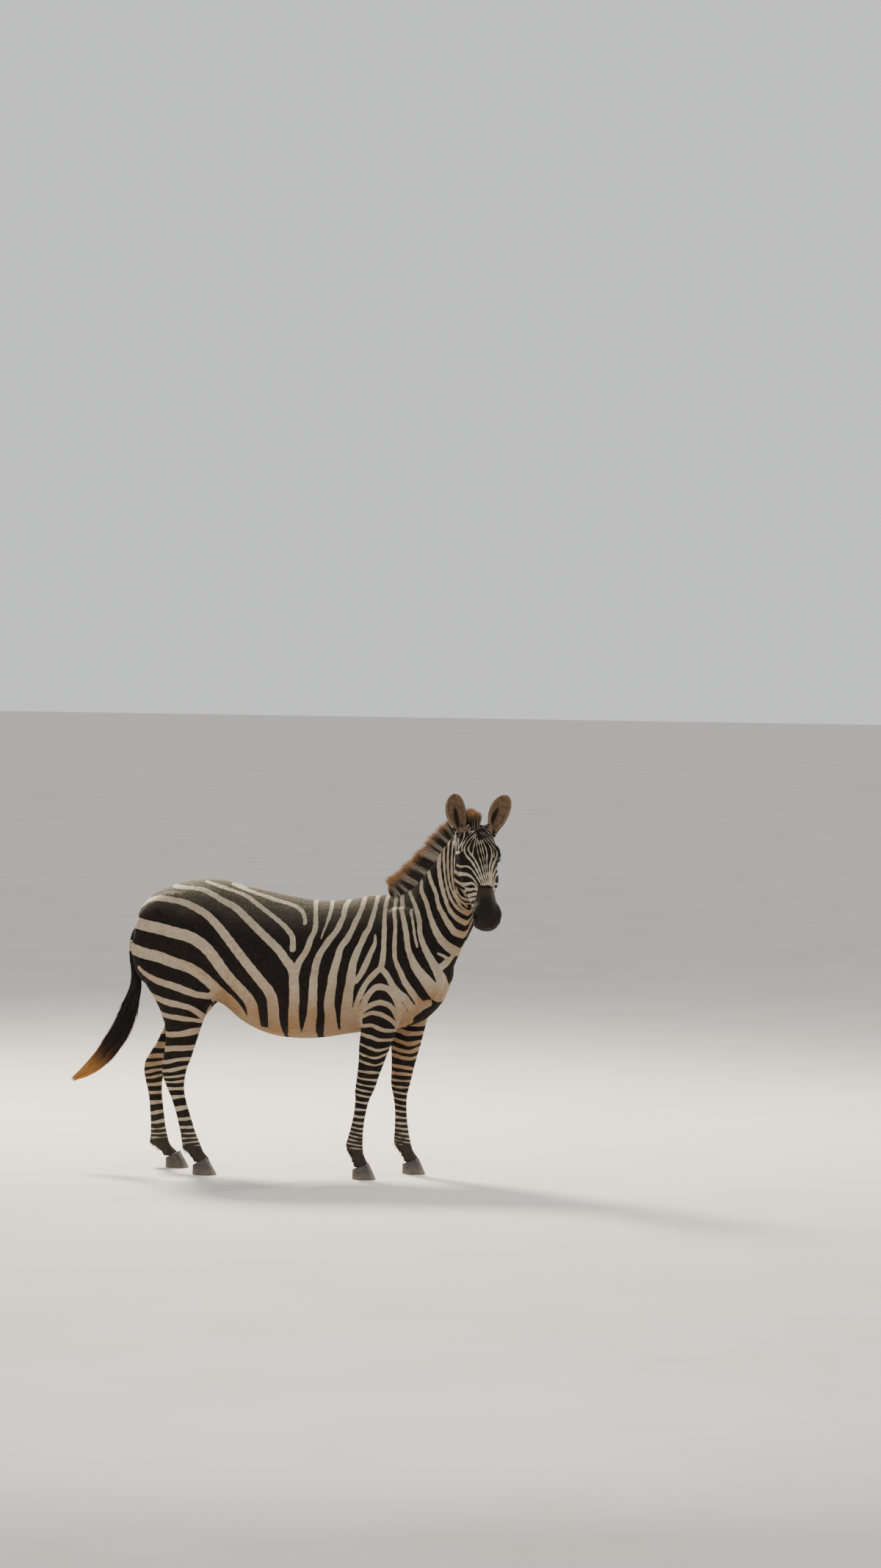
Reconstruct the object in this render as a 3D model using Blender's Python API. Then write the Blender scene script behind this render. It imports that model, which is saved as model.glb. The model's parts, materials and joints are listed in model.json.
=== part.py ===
"""Plains zebra standing with its head turned to its right, life size.

Metres, +Z up. The animal faces +X, its right side is towards -Y, and the soles
of the four hooves stand on Z = 0.
"""
import math

import bmesh
import bpy
import numpy as np
from mathutils import Matrix, Vector

# Driving dimensions of the whole animal.
CENTRE_X = -0.0125
CENTRE_Y = -0.0648
GAP = 0.0004
VOXEL = 0.0065
BODY_TRIANGLES = 3500

# Head carriage: where the poll is, which way the face looks, how far it is tucked.
POLL = (0.868, -0.173, 1.640)
HEAD_TURN = math.radians(22.0)
HEAD_PITCH = math.radians(56.0)
HEAD_LENGTH = 0.94

# Parts set into or on the head.
EYE_RADIUS = 0.0205
EYE_PLACE = (0.160, 0.050, 0.0790)
EAR_HEIGHT = 0.182
EAR_WIDTH = 0.100
EAR_WALL = 0.006
# lean outward in degrees, depth below and distance from the middle of the poll
EAR_PLACES = {-1: (12.0, 0.040, 0.068), 1: (22.0, 0.034, 0.078)}

# Hair that stands clear of the skin.
MANE_ROOT = 0.021
MANE_TIP = 0.007

bpy_objects = bpy.data.objects
for old in list(bpy_objects):
    bpy_objects.remove(old, do_unlink=True)


# ---- small geometry helpers -------------------------------------------------
def unit(vector):
    vector = np.asarray(vector, float)
    return vector / np.linalg.norm(vector)


def spline(stations, values, where):
    """Smooth curve through station values (one row per station)."""
    stations = np.asarray(stations, float)
    values = np.asarray(values, float)
    steps = np.diff(stations)
    slopes = np.diff(values, axis=0) / steps[:, None]
    tangents = np.empty_like(values)
    tangents[0] = slopes[0]
    tangents[-1] = slopes[-1]
    before = steps[:-1, None]
    after = steps[1:, None]
    tangents[1:-1] = (slopes[:-1] * after + slopes[1:] * before) / (before + after)
    where = np.asarray(where, float)
    index = np.clip(np.searchsorted(stations, where) - 1, 0, len(steps) - 1)
    span = steps[index][:, None]
    f = ((where - stations[index]) / steps[index])[:, None]
    return (
        (2 * f**3 - 3 * f**2 + 1) * values[index]
        + (f**3 - 2 * f**2 + f) * span * tangents[index]
        + (3 * f**2 - 2 * f**3) * values[index + 1]
        + (f**3 - f**2) * span * tangents[index + 1]
    )


def mesh_object(name, vertices, faces, solid=True):
    mesh = bpy.data.meshes.new(name)
    mesh.from_pydata([tuple(v) for v in vertices], [], [tuple(f) for f in faces])
    bm = bmesh.new()
    bm.from_mesh(mesh)
    bmesh.ops.recalc_face_normals(bm, faces=bm.faces)
    if solid and bm.calc_volume(signed=True) < 0:
        bmesh.ops.reverse_faces(bm, faces=bm.faces)
    bm.to_mesh(mesh)
    bm.free()
    obj = bpy_objects.new(name, mesh)
    bpy.context.scene.collection.objects.link(obj)
    return obj


def grid_faces(rings, around):
    """Quads of a tube of rings with a fan cap at each end."""
    faces = []
    for i in range(rings - 1):
        for j in range(around):
            k = (j + 1) % around
            faces.append((i * around + j, i * around + k, (i + 1) * around + k, (i + 1) * around + j))
    last = (rings - 1) * around
    faces.append(tuple(range(around))[::-1])
    faces.append(tuple(range(last, last + around)))
    return faces


def ring(top, bottom, side, half_width, widest, square, around):
    """One closed section: top and bottom points, half width, height of the widest line."""
    top = np.asarray(top, float)
    bottom = np.asarray(bottom, float)
    middle = top + (bottom - top) * widest
    angle = np.linspace(0, 2 * math.pi, around, endpoint=False)
    c = np.cos(angle)
    s = np.sin(angle)
    across = np.sign(c) * np.abs(c) ** (2 / square)
    along = np.abs(s) ** (2 / square)
    upper = np.where(s > 0, along, 0)[:, None] * (top - middle)
    lower = np.where(s <= 0, along, 0)[:, None] * (bottom - middle)
    return middle + upper + lower + (across * half_width)[:, None] * np.asarray(side, float)


def loft(name, stations, rows, rings, around=28):
    """Rows hold top, bottom, side vector, half width, widest line and squareness."""
    where = np.linspace(stations[0], stations[-1], rings)
    values = spline(stations, rows, where)
    points = []
    for v in values:
        side = unit(v[6:9])
        points.append(ring(v[0:3], v[3:6], side, v[9], v[10], v[11], around))
    return mesh_object(name, np.concatenate(points), grid_faces(rings, around))


def blob(name, centre, radii, axes=None, segments=28, rings=18):
    """Ellipsoid on its own three axes."""
    bm = bmesh.new()
    bmesh.ops.create_uvsphere(bm, u_segments=segments, v_segments=rings, radius=1.0)
    frame = np.eye(3) if axes is None else np.array([unit(a) for a in axes])
    for vertex in bm.verts:
        local = np.array(vertex.co) * np.asarray(radii)
        vertex.co = Vector(np.asarray(centre) + local @ frame)
    mesh = bpy.data.meshes.new(name)
    bm.to_mesh(mesh)
    bm.free()
    obj = bpy_objects.new(name, mesh)
    bpy.context.scene.collection.objects.link(obj)
    return obj


# ---- the head's own frame: along the face, below the face, to its left --------
FORWARD = np.array((math.sin(HEAD_TURN), -math.cos(HEAD_TURN), 0.0))
UP = np.array((0.0, 0.0, 1.0))
FACE = FORWARD * math.cos(HEAD_PITCH) - UP * math.sin(HEAD_PITCH)
UNDER = -FORWARD * math.sin(HEAD_PITCH) - UP * math.cos(HEAD_PITCH)
LEFT = np.cross(UP, FORWARD)


def in_head(u, d, w):
    """Place along the face, below its line and to the left of its middle."""
    return np.array(POLL) + FACE * u * HEAD_LENGTH + UNDER * d + LEFT * w


# ---- trunk and neck -----------------------------------------------------------
def trunk():
    # x, top, bottom, half width, widest line, squareness
    sections = [
        (-0.744, 1.110, 1.000, 0.030, 0.50, 2.0),  # tail head
        (-0.722, 1.192, 0.915, 0.105, 0.50, 2.1),  # points of the rump
        (-0.668, 1.272, 0.860, 0.172, 0.50, 2.1),
        (-0.570, 1.326, 0.820, 0.222, 0.48, 2.1),  # hips
        (-0.440, 1.358, 0.795, 0.243, 0.48, 2.1),  # croup
        (-0.325, 1.356, 0.782, 0.247, 0.52, 2.1),  # loin and flank
        (-0.225, 1.333, 0.705, 0.256, 0.55, 2.1),
        (-0.110, 1.310, 0.652, 0.270, 0.57, 2.1),
        (0.020, 1.285, 0.632, 0.276, 0.57, 2.1),  # barrel
        (0.150, 1.271, 0.637, 0.270, 0.57, 2.1),
        (0.270, 1.281, 0.657, 0.250, 0.56, 2.1),  # girth
        (0.380, 1.300, 0.672, 0.222, 0.55, 2.1),  # withers
        (0.480, 1.298, 0.684, 0.200, 0.55, 2.1),
        (0.580, 1.240, 0.709, 0.180, 0.53, 2.1),
        (0.664, 1.150, 0.762, 0.148, 0.50, 2.1),  # breast
        (0.724, 1.060, 0.850, 0.098, 0.48, 2.0),
        (0.751, 1.000, 0.925, 0.035, 0.50, 2.0),
    ]
    stations = [s[0] for s in sections]
    rows = [(x, 0, t, x, 0, b, 0, 1, 0, w, f, q) for x, t, b, w, f, q in sections]
    return loft("trunk", stations, rows, 64, 40)


def neck():
    # crest point, throat point, sideways shift of both, turn of the section, half width
    sections = [
        (0.440, 1.250, 0.700, 0.860, 0.000, 0.000, 0.00, 0.150),
        (0.500, 1.302, 0.738, 0.935, 0.000, 0.000, 0.00, 0.135),  # base
        (0.563, 1.344, 0.778, 1.030, 0.000, 0.000, 0.04, 0.118),
        (0.617, 1.407, 0.816, 1.105, -0.003, -0.004, 0.10, 0.104),
        (0.668, 1.477, 0.852, 1.180, -0.012, -0.018, 0.20, 0.094),
        (0.722, 1.552, 0.872, 1.265, -0.035, -0.050, 0.36, 0.087),
        (0.785, 1.616, 0.884, 1.350, -0.075, -0.092, 0.55, 0.082),
        (0.842, 1.640, 0.894, 1.430, -0.130, -0.118, 0.72, 0.078),  # behind the poll
        (0.868, 1.618, 0.900, 1.480, -0.165, -0.150, 0.80, 0.066),
    ]
    rows = []
    for cx, cz, tx, tz, crest_y, throat_y, turn, width in sections:
        side = unit((1 - turn) * np.array((0, 1, 0)) + turn * LEFT)
        rows.append((cx, crest_y, cz, tx, throat_y, tz, *side, width, 0.56, 2.0))
    return loft("neck", list(range(len(rows))), rows, 40, 32)


# ---- head -----------------------------------------------------------------------
def head_forms():
    # along the face, top depth, under depth, half width, widest line, squareness
    skull = [
        (-0.040, 0.050, 0.135, 0.037, 0.50, 2.0),
        (-0.015, 0.014, 0.150, 0.068, 0.50, 2.1),  # poll
        (0.040, -0.006, 0.165, 0.085, 0.46, 2.3),
        (0.100, -0.011, 0.180, 0.094, 0.40, 2.4),  # forehead
        (0.160, -0.008, 0.182, 0.093, 0.40, 2.4),  # eyes
        (0.225, -0.001, 0.176, 0.083, 0.44, 2.4),
        (0.300, 0.005, 0.162, 0.067, 0.48, 2.4),  # nose bone
        (0.370, 0.010, 0.146, 0.055, 0.50, 2.3),
        (0.430, 0.013, 0.138, 0.057, 0.50, 2.3),
        (0.480, 0.018, 0.134, 0.060, 0.50, 2.3),  # nostrils
        (0.515, 0.034, 0.122, 0.053, 0.50, 2.2),
        (0.536, 0.060, 0.102, 0.029, 0.50, 2.0),  # lips
    ]
    jaw = [
        (0.020, 0.060, 0.175, 0.044, 0.50, 2.1),
        (0.060, 0.055, 0.222, 0.062, 0.50, 2.3),
        (0.120, 0.050, 0.242, 0.067, 0.50, 2.4),  # round of the jaw
        (0.190, 0.050, 0.232, 0.065, 0.50, 2.4),
        (0.260, 0.055, 0.203, 0.058, 0.50, 2.3),
        (0.340, 0.060, 0.172, 0.048, 0.50, 2.2),
        (0.410, 0.065, 0.150, 0.041, 0.50, 2.1),
        (0.460, 0.070, 0.147, 0.040, 0.50, 2.1),  # chin
        (0.497, 0.080, 0.138, 0.033, 0.50, 2.0),
        (0.512, 0.095, 0.122, 0.017, 0.50, 2.0),
    ]
    forms = []
    for name, sections in (("skull", skull), ("jaw", jaw)):
        stations = [s[0] for s in sections]
        rows = []
        for u, top, under, width, widest, square in sections:
            rows.append((*in_head(u, top, 0), *in_head(u, under, 0), *LEFT, width, widest, square))
        forms.append(loft(name, stations, rows, 44, 32))
    axes = (FACE, UNDER, LEFT)
    for side in (-1, 1):
        lumps = {
            "brow": ((0.140, 0.026, side * 0.080), (0.044, 0.022, 0.0205)),
            "cheek": ((0.145, 0.130, side * 0.055), (0.105, 0.086, 0.036)),
            "cheek bone": ((0.225, 0.075, side * 0.067), (0.085, 0.026, 0.022)),
            "nostril": ((0.455, 0.061, side * 0.041), (0.050, 0.036, 0.026)),
            "ear root": ((0.006, 0.042, side * 0.062), (0.032, 0.034, 0.026)),
        }
        for name, (place, radii) in lumps.items():
            forms.append(blob(name, in_head(*place), radii, axes))
    forms.append(blob("chin", in_head(0.466, 0.128, 0), (0.034, 0.025, 0.033), axes))
    forms.append(blob("upper lip", in_head(0.505, 0.084, 0), (0.030, 0.041, 0.047), axes))
    return forms


# ---- limbs ------------------------------------------------------------------------
# place along the joints, half depth, half width, forward shift
FORE_PROFILE = [
    (0.00, 0.120, 0.070, 0.000),  # shoulder
    (0.55, 0.112, 0.074, 0.000),
    (1.00, 0.098, 0.068, 0.000),  # elbow
    (1.25, 0.083, 0.058, 0.000),
    (1.45, 0.073, 0.051, 0.000),
    (1.63, 0.062, 0.045, 0.002),
    (1.82, 0.052, 0.041, 0.002),
    (1.94, 0.048, 0.041, 0.002),
    (2.03, 0.0435, 0.040, 0.001),  # knee
    (2.16, 0.0345, 0.034, 0.000),
    (2.33, 0.0300, 0.027, 0.000),
    (2.60, 0.0300, 0.025, 0.000),
    (2.82, 0.0350, 0.027, 0.000),
    (3.00, 0.0405, 0.031, 0.000),  # fetlock
    (3.25, 0.0370, 0.029, 0.000),
    (3.60, 0.0320, 0.026, 0.000),  # pastern
    (4.00, 0.0350, 0.030, 0.000),  # coronet
    (4.50, 0.0370, 0.032, 0.000),
]
HIND_PROFILE = [
    (0.00, 0.185, 0.092, 0.000),  # hip
    (0.40, 0.198, 0.100, 0.000),
    (0.70, 0.166, 0.092, 0.000),
    (1.00, 0.127, 0.078, 0.000),  # stifle
    (1.18, 0.103, 0.066, 0.008),
    (1.36, 0.083, 0.056, 0.014),
    (1.56, 0.0715, 0.048, 0.013),
    (1.76, 0.066, 0.043, 0.006),
    (1.90, 0.060, 0.041, 0.000),
    (2.00, 0.0535, 0.039, 0.000),  # hock
    (2.13, 0.0430, 0.035, -0.002),
    (2.30, 0.0345, 0.029, -0.002),
    (2.55, 0.0335, 0.027, 0.000),
    (2.82, 0.0375, 0.030, 0.000),
    (3.00, 0.0440, 0.034, 0.000),  # fetlock
    (3.25, 0.0410, 0.032, 0.000),
    (3.60, 0.0370, 0.028, 0.000),  # pastern
    (4.00, 0.0390, 0.032, 0.000),  # coronet
    (4.50, 0.0400, 0.033, 0.000),
]
LEGS = {
    "fore_right": {
        "profile": FORE_PROFILE,
        "joints": [(0.498, -0.118, 1.03), (0.447, -0.148, 0.78), (0.361, -0.138, 0.41),
                   (0.315, -0.130, 0.152), (0.346, -0.130, 0.075), (0.359, -0.130, 0.035)],
        "hoof": (0.309, 0.419),
    },
    "fore_left": {
        "profile": FORE_PROFILE,
        "joints": [(0.530, 0.118, 1.03), (0.536, 0.148, 0.78), (0.490, 0.138, 0.41),
                   (0.504, 0.130, 0.144), (0.545, 0.130, 0.075), (0.557, 0.130, 0.035)],
        "hoof": (0.507, 0.616),
    },
    "hind_right": {
        "profile": HIND_PROFILE,
        "joints": [(-0.530, -0.120, 1.05), (-0.481, -0.150, 0.80), (-0.531, -0.128, 0.45),
                   (-0.441, -0.122, 0.127), (-0.401, -0.122, 0.078), (-0.386, -0.122, 0.038)],
        "hoof": (-0.437, -0.323),
    },
    "hind_left": {
        "profile": HIND_PROFILE,
        "joints": [(-0.530, 0.120, 1.05), (-0.482, 0.150, 0.80), (-0.670, 0.128, 0.46),
                   (-0.638, 0.122, 0.116), (-0.588, 0.122, 0.072), (-0.572, 0.122, 0.036)],
        "hoof": (-0.608, -0.496),
    },
}


def joint_line(joints, place):
    """Straight bones between joints with a short bend at each one."""
    bend = 0.10
    total = np.zeros(3)
    samples = np.linspace(-bend, bend, 5)
    for step in samples:
        p = min(max(place + step, 0.0), len(joints) - 1.0001)
        i = int(p)
        a = np.array(joints[i])
        b = np.array(joints[i + 1])
        total += a + (b - a) * (p - i)
    return total / len(samples)


def limb(name, leg):
    stations = []
    rows = []
    for place, depth, width, shift in leg["profile"]:
        middle = joint_line(leg["joints"], place) + np.array((shift, 0, 0))
        front = middle + np.array((depth, 0, 0))
        back = middle - np.array((depth, 0, 0))
        stations.append(place)
        rows.append((*front, *back, 0, 1, 0, width, 0.50, 2.1))
    return loft(name, stations, rows, 72, 24)


def masses():
    """Muscles that round the shoulders, breast, thighs and belly."""
    forms = []
    for side in (-1, 1):
        lean = (0.34, 0, 0.94)
        forms.append(blob("shoulder blade", (0.480, side * 0.118, 1.050), (0.135, 0.072, 0.215),
                          ((0.94, 0, -0.34), (0, 1, 0), lean)))
        forms.append(blob("point of shoulder", (0.600, side * 0.112, 0.930), (0.125, 0.068, 0.120)))
        forms.append(blob("breast muscle", (0.638, side * 0.058, 0.852), (0.066, 0.062, 0.078)))
        forms.append(blob("upper arm", (0.490, side * 0.130, 0.845), (0.125, 0.070, 0.110)))
        forms.append(blob("haunch", (-0.525, side * 0.118, 1.110), (0.195, 0.112, 0.200)))
        forms.append(blob("buttock", (-0.642, side * 0.095, 1.030), (0.096, 0.085, 0.160)))
        forms.append(blob("flank fold", (-0.375, side * 0.150, 0.880), (0.075, 0.060, 0.120),
                          ((0.92, 0, -0.39), (0, 1, 0), (0.39, 0, 0.92))))
    return forms


# ---- joining, smoothing and thinning the body ------------------------------------------
def baked(obj):
    """Replace an object's mesh by the result of its modifiers."""
    bpy.context.view_layer.update()
    graph = bpy.context.evaluated_depsgraph_get()
    mesh = bpy.data.meshes.new_from_object(obj.evaluated_get(graph))
    obj.modifiers.clear()
    obj.data = mesh
    return obj


def joined(name, objects):
    vertices = []
    faces = []
    for obj in objects:
        base = len(vertices)
        vertices.extend(tuple(v.co) for v in obj.data.vertices)
        faces.extend(tuple(base + i for i in p.vertices) for p in obj.data.polygons)
    for obj in objects:
        bpy_objects.remove(obj, do_unlink=True)
    mesh = bpy.data.meshes.new(name)
    mesh.from_pydata(vertices, [], faces)
    obj = bpy_objects.new(name, mesh)
    bpy.context.scene.collection.objects.link(obj)
    return obj


def relaxed(obj, rounds, firm):
    """Round the creases without shrinking; firm(points) is 1 where the shape is kept."""
    mesh = obj.data
    count = len(mesh.vertices)
    points = np.empty(count * 3)
    mesh.vertices.foreach_get("co", points)
    points = points.reshape(-1, 3)
    edges = np.empty(len(mesh.edges) * 2, dtype=np.int64)
    mesh.edges.foreach_get("vertices", edges)
    a, b = edges.reshape(-1, 2).T
    valence = np.bincount(np.concatenate((a, b)), minlength=count)[:, None]
    soft = (1 - firm(points))[:, None]
    for step in range(rounds * 2):
        weight = 0.52 if step % 2 == 0 else -0.50
        total = np.zeros_like(points)
        for axis in range(3):
            total[:, axis] = np.bincount(a, points[b, axis], count) + np.bincount(b, points[a, axis], count)
        points += (total / valence - points) * weight * soft
    mesh.vertices.foreach_set("co", points.ravel())
    mesh.update()


def thinned(obj, triangles, fine):
    """Reduce to a triangle count, keeping more of them where fine(points) is small."""
    group = obj.vertex_groups.new(name="fine")
    points = np.empty(len(obj.data.vertices) * 3)
    obj.data.vertices.foreach_get("co", points)
    weight = fine(points.reshape(-1, 3))
    for level in np.unique(weight):
        group.add([int(i) for i in np.nonzero(weight == level)[0]], float(level), "REPLACE")
    thin = obj.modifiers.new("thin", "DECIMATE")
    thin.ratio = triangles / sum(len(p.vertices) - 2 for p in obj.data.polygons)
    thin.vertex_group = "fine"
    thin.vertex_group_factor = 0.0001
    thin.use_collapse_triangulate = True
    baked(obj)


def head_reach(points):
    """Distance along and below the face of each point."""
    local = points - np.array(POLL)
    return local @ FACE, local @ UNDER, local @ LEFT


def is_head(points):
    u, d, w = head_reach(points)
    return (points[:, 2] > 1.12) & (points[:, 1] < -0.125) & (u > -0.05) & (np.abs(w) < 0.14)


# ---- hooves ---------------------------------------------------------------------------
# half width at the ground and at the crown, front height, set-back of the crown
HOOF_SIZES = {"fore": (0.046, 0.038, 0.074, 0.034), "hind": (0.042, 0.0355, 0.080, 0.045)}
HOOF_BACK = 0.044


def coronet(name):
    """Middle, slope and reach of the line where a foot enters its hoof."""
    heel, toe = LEGS[name]["hoof"]
    y = LEGS[name]["joints"][4][1]
    high, set_back = HOOF_SIZES[name[:4]][2:]
    front = np.array((toe - set_back, y, high))
    back = np.array((heel + 0.001, y, HOOF_BACK))
    return front, back


def hoof(name):
    heel, toe = LEGS[name]["hoof"]
    ground, crown = HOOF_SIZES[name[:4]][:2]
    front, back = coronet(name)
    y = front[1]
    below = unit(np.cross(front - back, (0, 1, 0))) * GAP * 0.5
    rows = []
    for place, low in ((0.0, 0.0), (0.5, 0.0), (1.0, 0.0)):
        top = front + below + (np.array((toe, y, 0.0)) - front - below) * place
        bottom = back + below + (np.array((heel, y, 0.0)) - back - below) * place
        width = crown + (ground - crown) * place
        rows.append((*top, *bottom, 0, 1, 0, width, 0.44, 2.15))
    return loft(f"hoof_{name}", [0.0, 0.5, 1.0], rows, 3, 22)


# ---- eyes, ears, mane, forelock, tail -----------------------------------------------------
def eye(name, side, radius):
    u, d, w = EYE_PLACE
    axes = (FACE, UNDER, LEFT)
    return blob(name, in_head(u, d, side * w), (radius, radius, radius), axes, 16, 10)


def ear(name, side):
    """Cupped leaf: a bent strip with a wall, closed into a stalk at its root."""
    lean, below, apart = EAR_PLACES[side]
    lean = math.radians(lean)
    root = in_head(0.018, below, side * apart)
    axis = unit(UP * math.cos(lean) + LEFT * side * math.sin(lean) + FORWARD * 0.05)
    opening = unit(FORWARD + LEFT * side * (-0.10 if side < 0 else 0.06))
    opening = unit(opening - axis * (opening @ axis))
    across = np.cross(axis, opening)
    # height, half width, how far the rims wrap round, depth of the cup
    shape = [
        (-0.10, 0.200, 2.90, 0.200),
        (0.00, 0.235, 2.60, 0.235),
        (0.12, 0.300, 2.15, 0.300),
        (0.28, 0.420, 1.75, 0.330),
        (0.48, 0.500, 1.52, 0.300),
        (0.66, 0.495, 1.45, 0.230),
        (0.80, 0.430, 1.42, 0.170),
        (0.91, 0.310, 1.40, 0.110),
        (0.975, 0.165, 1.40, 0.060),
        (1.00, 0.045, 1.40, 0.020),
    ]
    heights = np.linspace(-0.10, 1.0, 11)
    values = spline([s[0] for s in shape], [s[1:] for s in shape], heights)
    outer = []
    inner = []
    steps = 11
    for h, (half, wrap, cup) in zip(heights, values):
        middle = root + axis * (h * EAR_HEIGHT) - opening * 0.012 * math.sin(h * math.pi)
        for t in np.linspace(-1, 1, steps):
            turn = wrap * t
            out = -opening * math.cos(turn) * cup + across * math.sin(turn) * half
            outer.append(middle + out * EAR_WIDTH)
            size = np.linalg.norm(out) * EAR_WIDTH
            wall = min(EAR_WALL, size * 0.45)
            inner.append(middle + out * EAR_WIDTH * (1 - wall / size))
    points = outer + inner
    total = len(outer)
    faces = []
    rows = len(heights)
    for i in range(rows - 1):
        for j in range(steps - 1):
            a = i * steps + j
            faces.append((a, a + 1, a + 1 + steps, a + steps))
            faces.append((total + a, total + a + steps, total + a + 1 + steps, total + a + 1))
        for j in (0, steps - 1):
            a = i * steps + j
            faces.append((a, a + steps, total + a + steps, total + a))
    for row in (0, rows - 1):
        for j in range(steps - 1):
            a = row * steps + j
            faces.append((a, a + 1, total + a + 1, total + a))
    return mesh_object(name, points, faces)


def mane():
    # root point on the crest, its sideways place, hair height
    line = [
        (0.462, 1.285, 0.000, 0.055),
        (0.505, 1.288, 0.000, 0.112),
        (0.560, 1.325, 0.000, 0.122),
        (0.613, 1.388, -0.003, 0.118),
        (0.664, 1.458, -0.012, 0.112),
        (0.717, 1.532, -0.035, 0.106),
        (0.775, 1.592, -0.072, 0.098),
        (0.826, 1.625, -0.122, 0.090),
        (0.856, 1.634, -0.158, 0.086),
    ]
    places = list(range(len(line)))
    fine = np.linspace(0, places[-1], 20)
    values = spline(places, line, fine)
    roots = values[:, [0, 2, 1]]
    runs = np.gradient(roots, axis=0)
    points = []
    around = 8
    for (x, z, y, height), run, place in zip(values, runs, fine):
        run = unit(run)
        across = unit(np.cross(run, UP))
        rise = unit(np.cross(across, run))
        lean = unit(rise - run * 0.22 * (1 - place / places[-1]))
        root = np.array((x, y, z))
        for level, width in ((0.0, MANE_ROOT), (0.45, 0.75 * MANE_ROOT), (0.8, 0.55 * MANE_ROOT), (1.0, MANE_TIP)):
            points.append(root + lean * height * level + across * width)
        for level, width in ((1.0, MANE_TIP), (0.8, 0.55 * MANE_ROOT), (0.45, 0.75 * MANE_ROOT), (0.0, MANE_ROOT)):
            points.append(root + lean * height * level - across * width)
    return mesh_object("mane", points, grid_faces(len(values), around))


def forelock():
    rows = []
    stations = []
    # rise along the hair, half depth front to back, half width
    for rise, depth, width in ((-0.030, 0.034, 0.024), (0.02, 0.034, 0.023), (0.05, 0.028, 0.019),
                               (0.075, 0.020, 0.013), (0.092, 0.008, 0.006)):
        middle = in_head(0.010, 0.004, 0.0) + UP * rise + LEFT * (-0.006) + FORWARD * 0.004
        along = FORWARD * depth
        stations.append(rise)
        rows.append((*(middle + along), *(middle - along), *LEFT, width, 0.5, 2.0))
    return loft("forelock", stations, rows, 8, 14)


TAIL_LINE = [
    # x, y, z, half depth, half width
    (-0.690, 0.000, 1.150, 0.026, 0.026),
    (-0.722, 0.000, 1.120, 0.026, 0.026),
    (-0.744, 0.002, 1.060, 0.023, 0.023),
    (-0.747, 0.004, 0.990, 0.021, 0.021),
    (-0.736, 0.006, 0.920, 0.023, 0.021),
    (-0.735, 0.008, 0.860, 0.029, 0.024),
    (-0.753, 0.010, 0.790, 0.039, 0.030),
    (-0.775, 0.012, 0.720, 0.043, 0.033),
    (-0.805, 0.014, 0.650, 0.045, 0.033),
    (-0.844, 0.016, 0.585, 0.044, 0.031),
    (-0.892, 0.018, 0.520, 0.038, 0.027),
    (-0.955, 0.020, 0.460, 0.026, 0.019),
    (-1.040, 0.022, 0.405, 0.006, 0.005),
]


def tail():
    line = np.array(TAIL_LINE)
    stations = np.concatenate(([0], np.cumsum(np.linalg.norm(np.diff(line[:, :3], axis=0), axis=1))))
    runs = np.gradient(line[:, :3], axis=0)
    rows = []
    for row, run in zip(line, runs):
        run = unit(run)
        across = unit(np.cross(run, (0, 1, 0)))
        rows.append((*(row[:3] + across * row[3]), *(row[:3] - across * row[3]), 0, 1, 0, row[4], 0.5, 2.0))
    return loft("tail", stations, rows, 20, 12)


# ---- cutting ---------------------------------------------------------------------------
def guide(obj):
    """Keep a cutter out of the model proper."""
    obj.hide_render = True
    obj.hide_set(True)
    obj.display_type = "WIRE"
    return obj


def cut(obj, cutter, operation="DIFFERENCE"):
    step = obj.modifiers.new("cut", "BOOLEAN")
    step.operation = operation
    step.solver = "EXACT"
    step.object = cutter
    baked(obj)


def grown(obj, name, amount):
    copy = bpy_objects.new(name, obj.data.copy())
    bpy.context.scene.collection.objects.link(copy)
    swell = copy.modifiers.new("grow", "DISPLACE")
    swell.strength = amount
    swell.mid_level = 0.0
    baked(copy)
    return copy


def slab(centre, normal, reach):
    """Thin box whose two wide faces are square to the normal."""
    bm = bmesh.new()
    bmesh.ops.create_cube(bm, size=1.0)
    turn = Vector(normal).to_track_quat("Z", "Y").to_matrix().to_4x4()
    size = Matrix.Diagonal((reach[0], reach[1], GAP, 1.0))
    bm.transform(Matrix.Translation(Vector(centre)) @ turn @ size)
    mesh = bpy.data.meshes.new("slab")
    bm.to_mesh(mesh)
    bm.free()
    obj = bpy_objects.new("slab", mesh)
    bpy.context.scene.collection.objects.link(obj)
    return obj


def loose_parts(obj):
    """Split a mesh object into one object per connected shell."""
    bm = bmesh.new()
    bm.from_mesh(obj.data)
    seen = set()
    shells = []
    for start in bm.verts:
        if start in seen:
            continue
        seen.add(start)
        shell = []
        stack = [start]
        while stack:
            vertex = stack.pop()
            shell.append(vertex)
            for edge in vertex.link_edges:
                other = edge.other_vert(vertex)
                if other not in seen:
                    seen.add(other)
                    stack.append(other)
        shells.append(shell)
    parts = []
    for number, shell in enumerate(shells):
        order = {vertex: i for i, vertex in enumerate(shell)}
        faces = {face for vertex in shell for face in vertex.link_faces}
        points = [tuple(v.co) for v in shell]
        loops = [[order[v] for v in face.verts] for face in faces]
        mesh = bpy.data.meshes.new(f"shell_{number}")
        mesh.from_pydata(points, [], loops)
        part = bpy_objects.new(f"shell_{number}", mesh)
        bpy.context.scene.collection.objects.link(part)
        parts.append(part)
    bm.free()
    bpy_objects.remove(obj, do_unlink=True)
    return parts


def middle_of(obj):
    points = np.array([tuple(v.co) for v in obj.data.vertices])
    return (points.min(axis=0) + points.max(axis=0)) / 2


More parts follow.
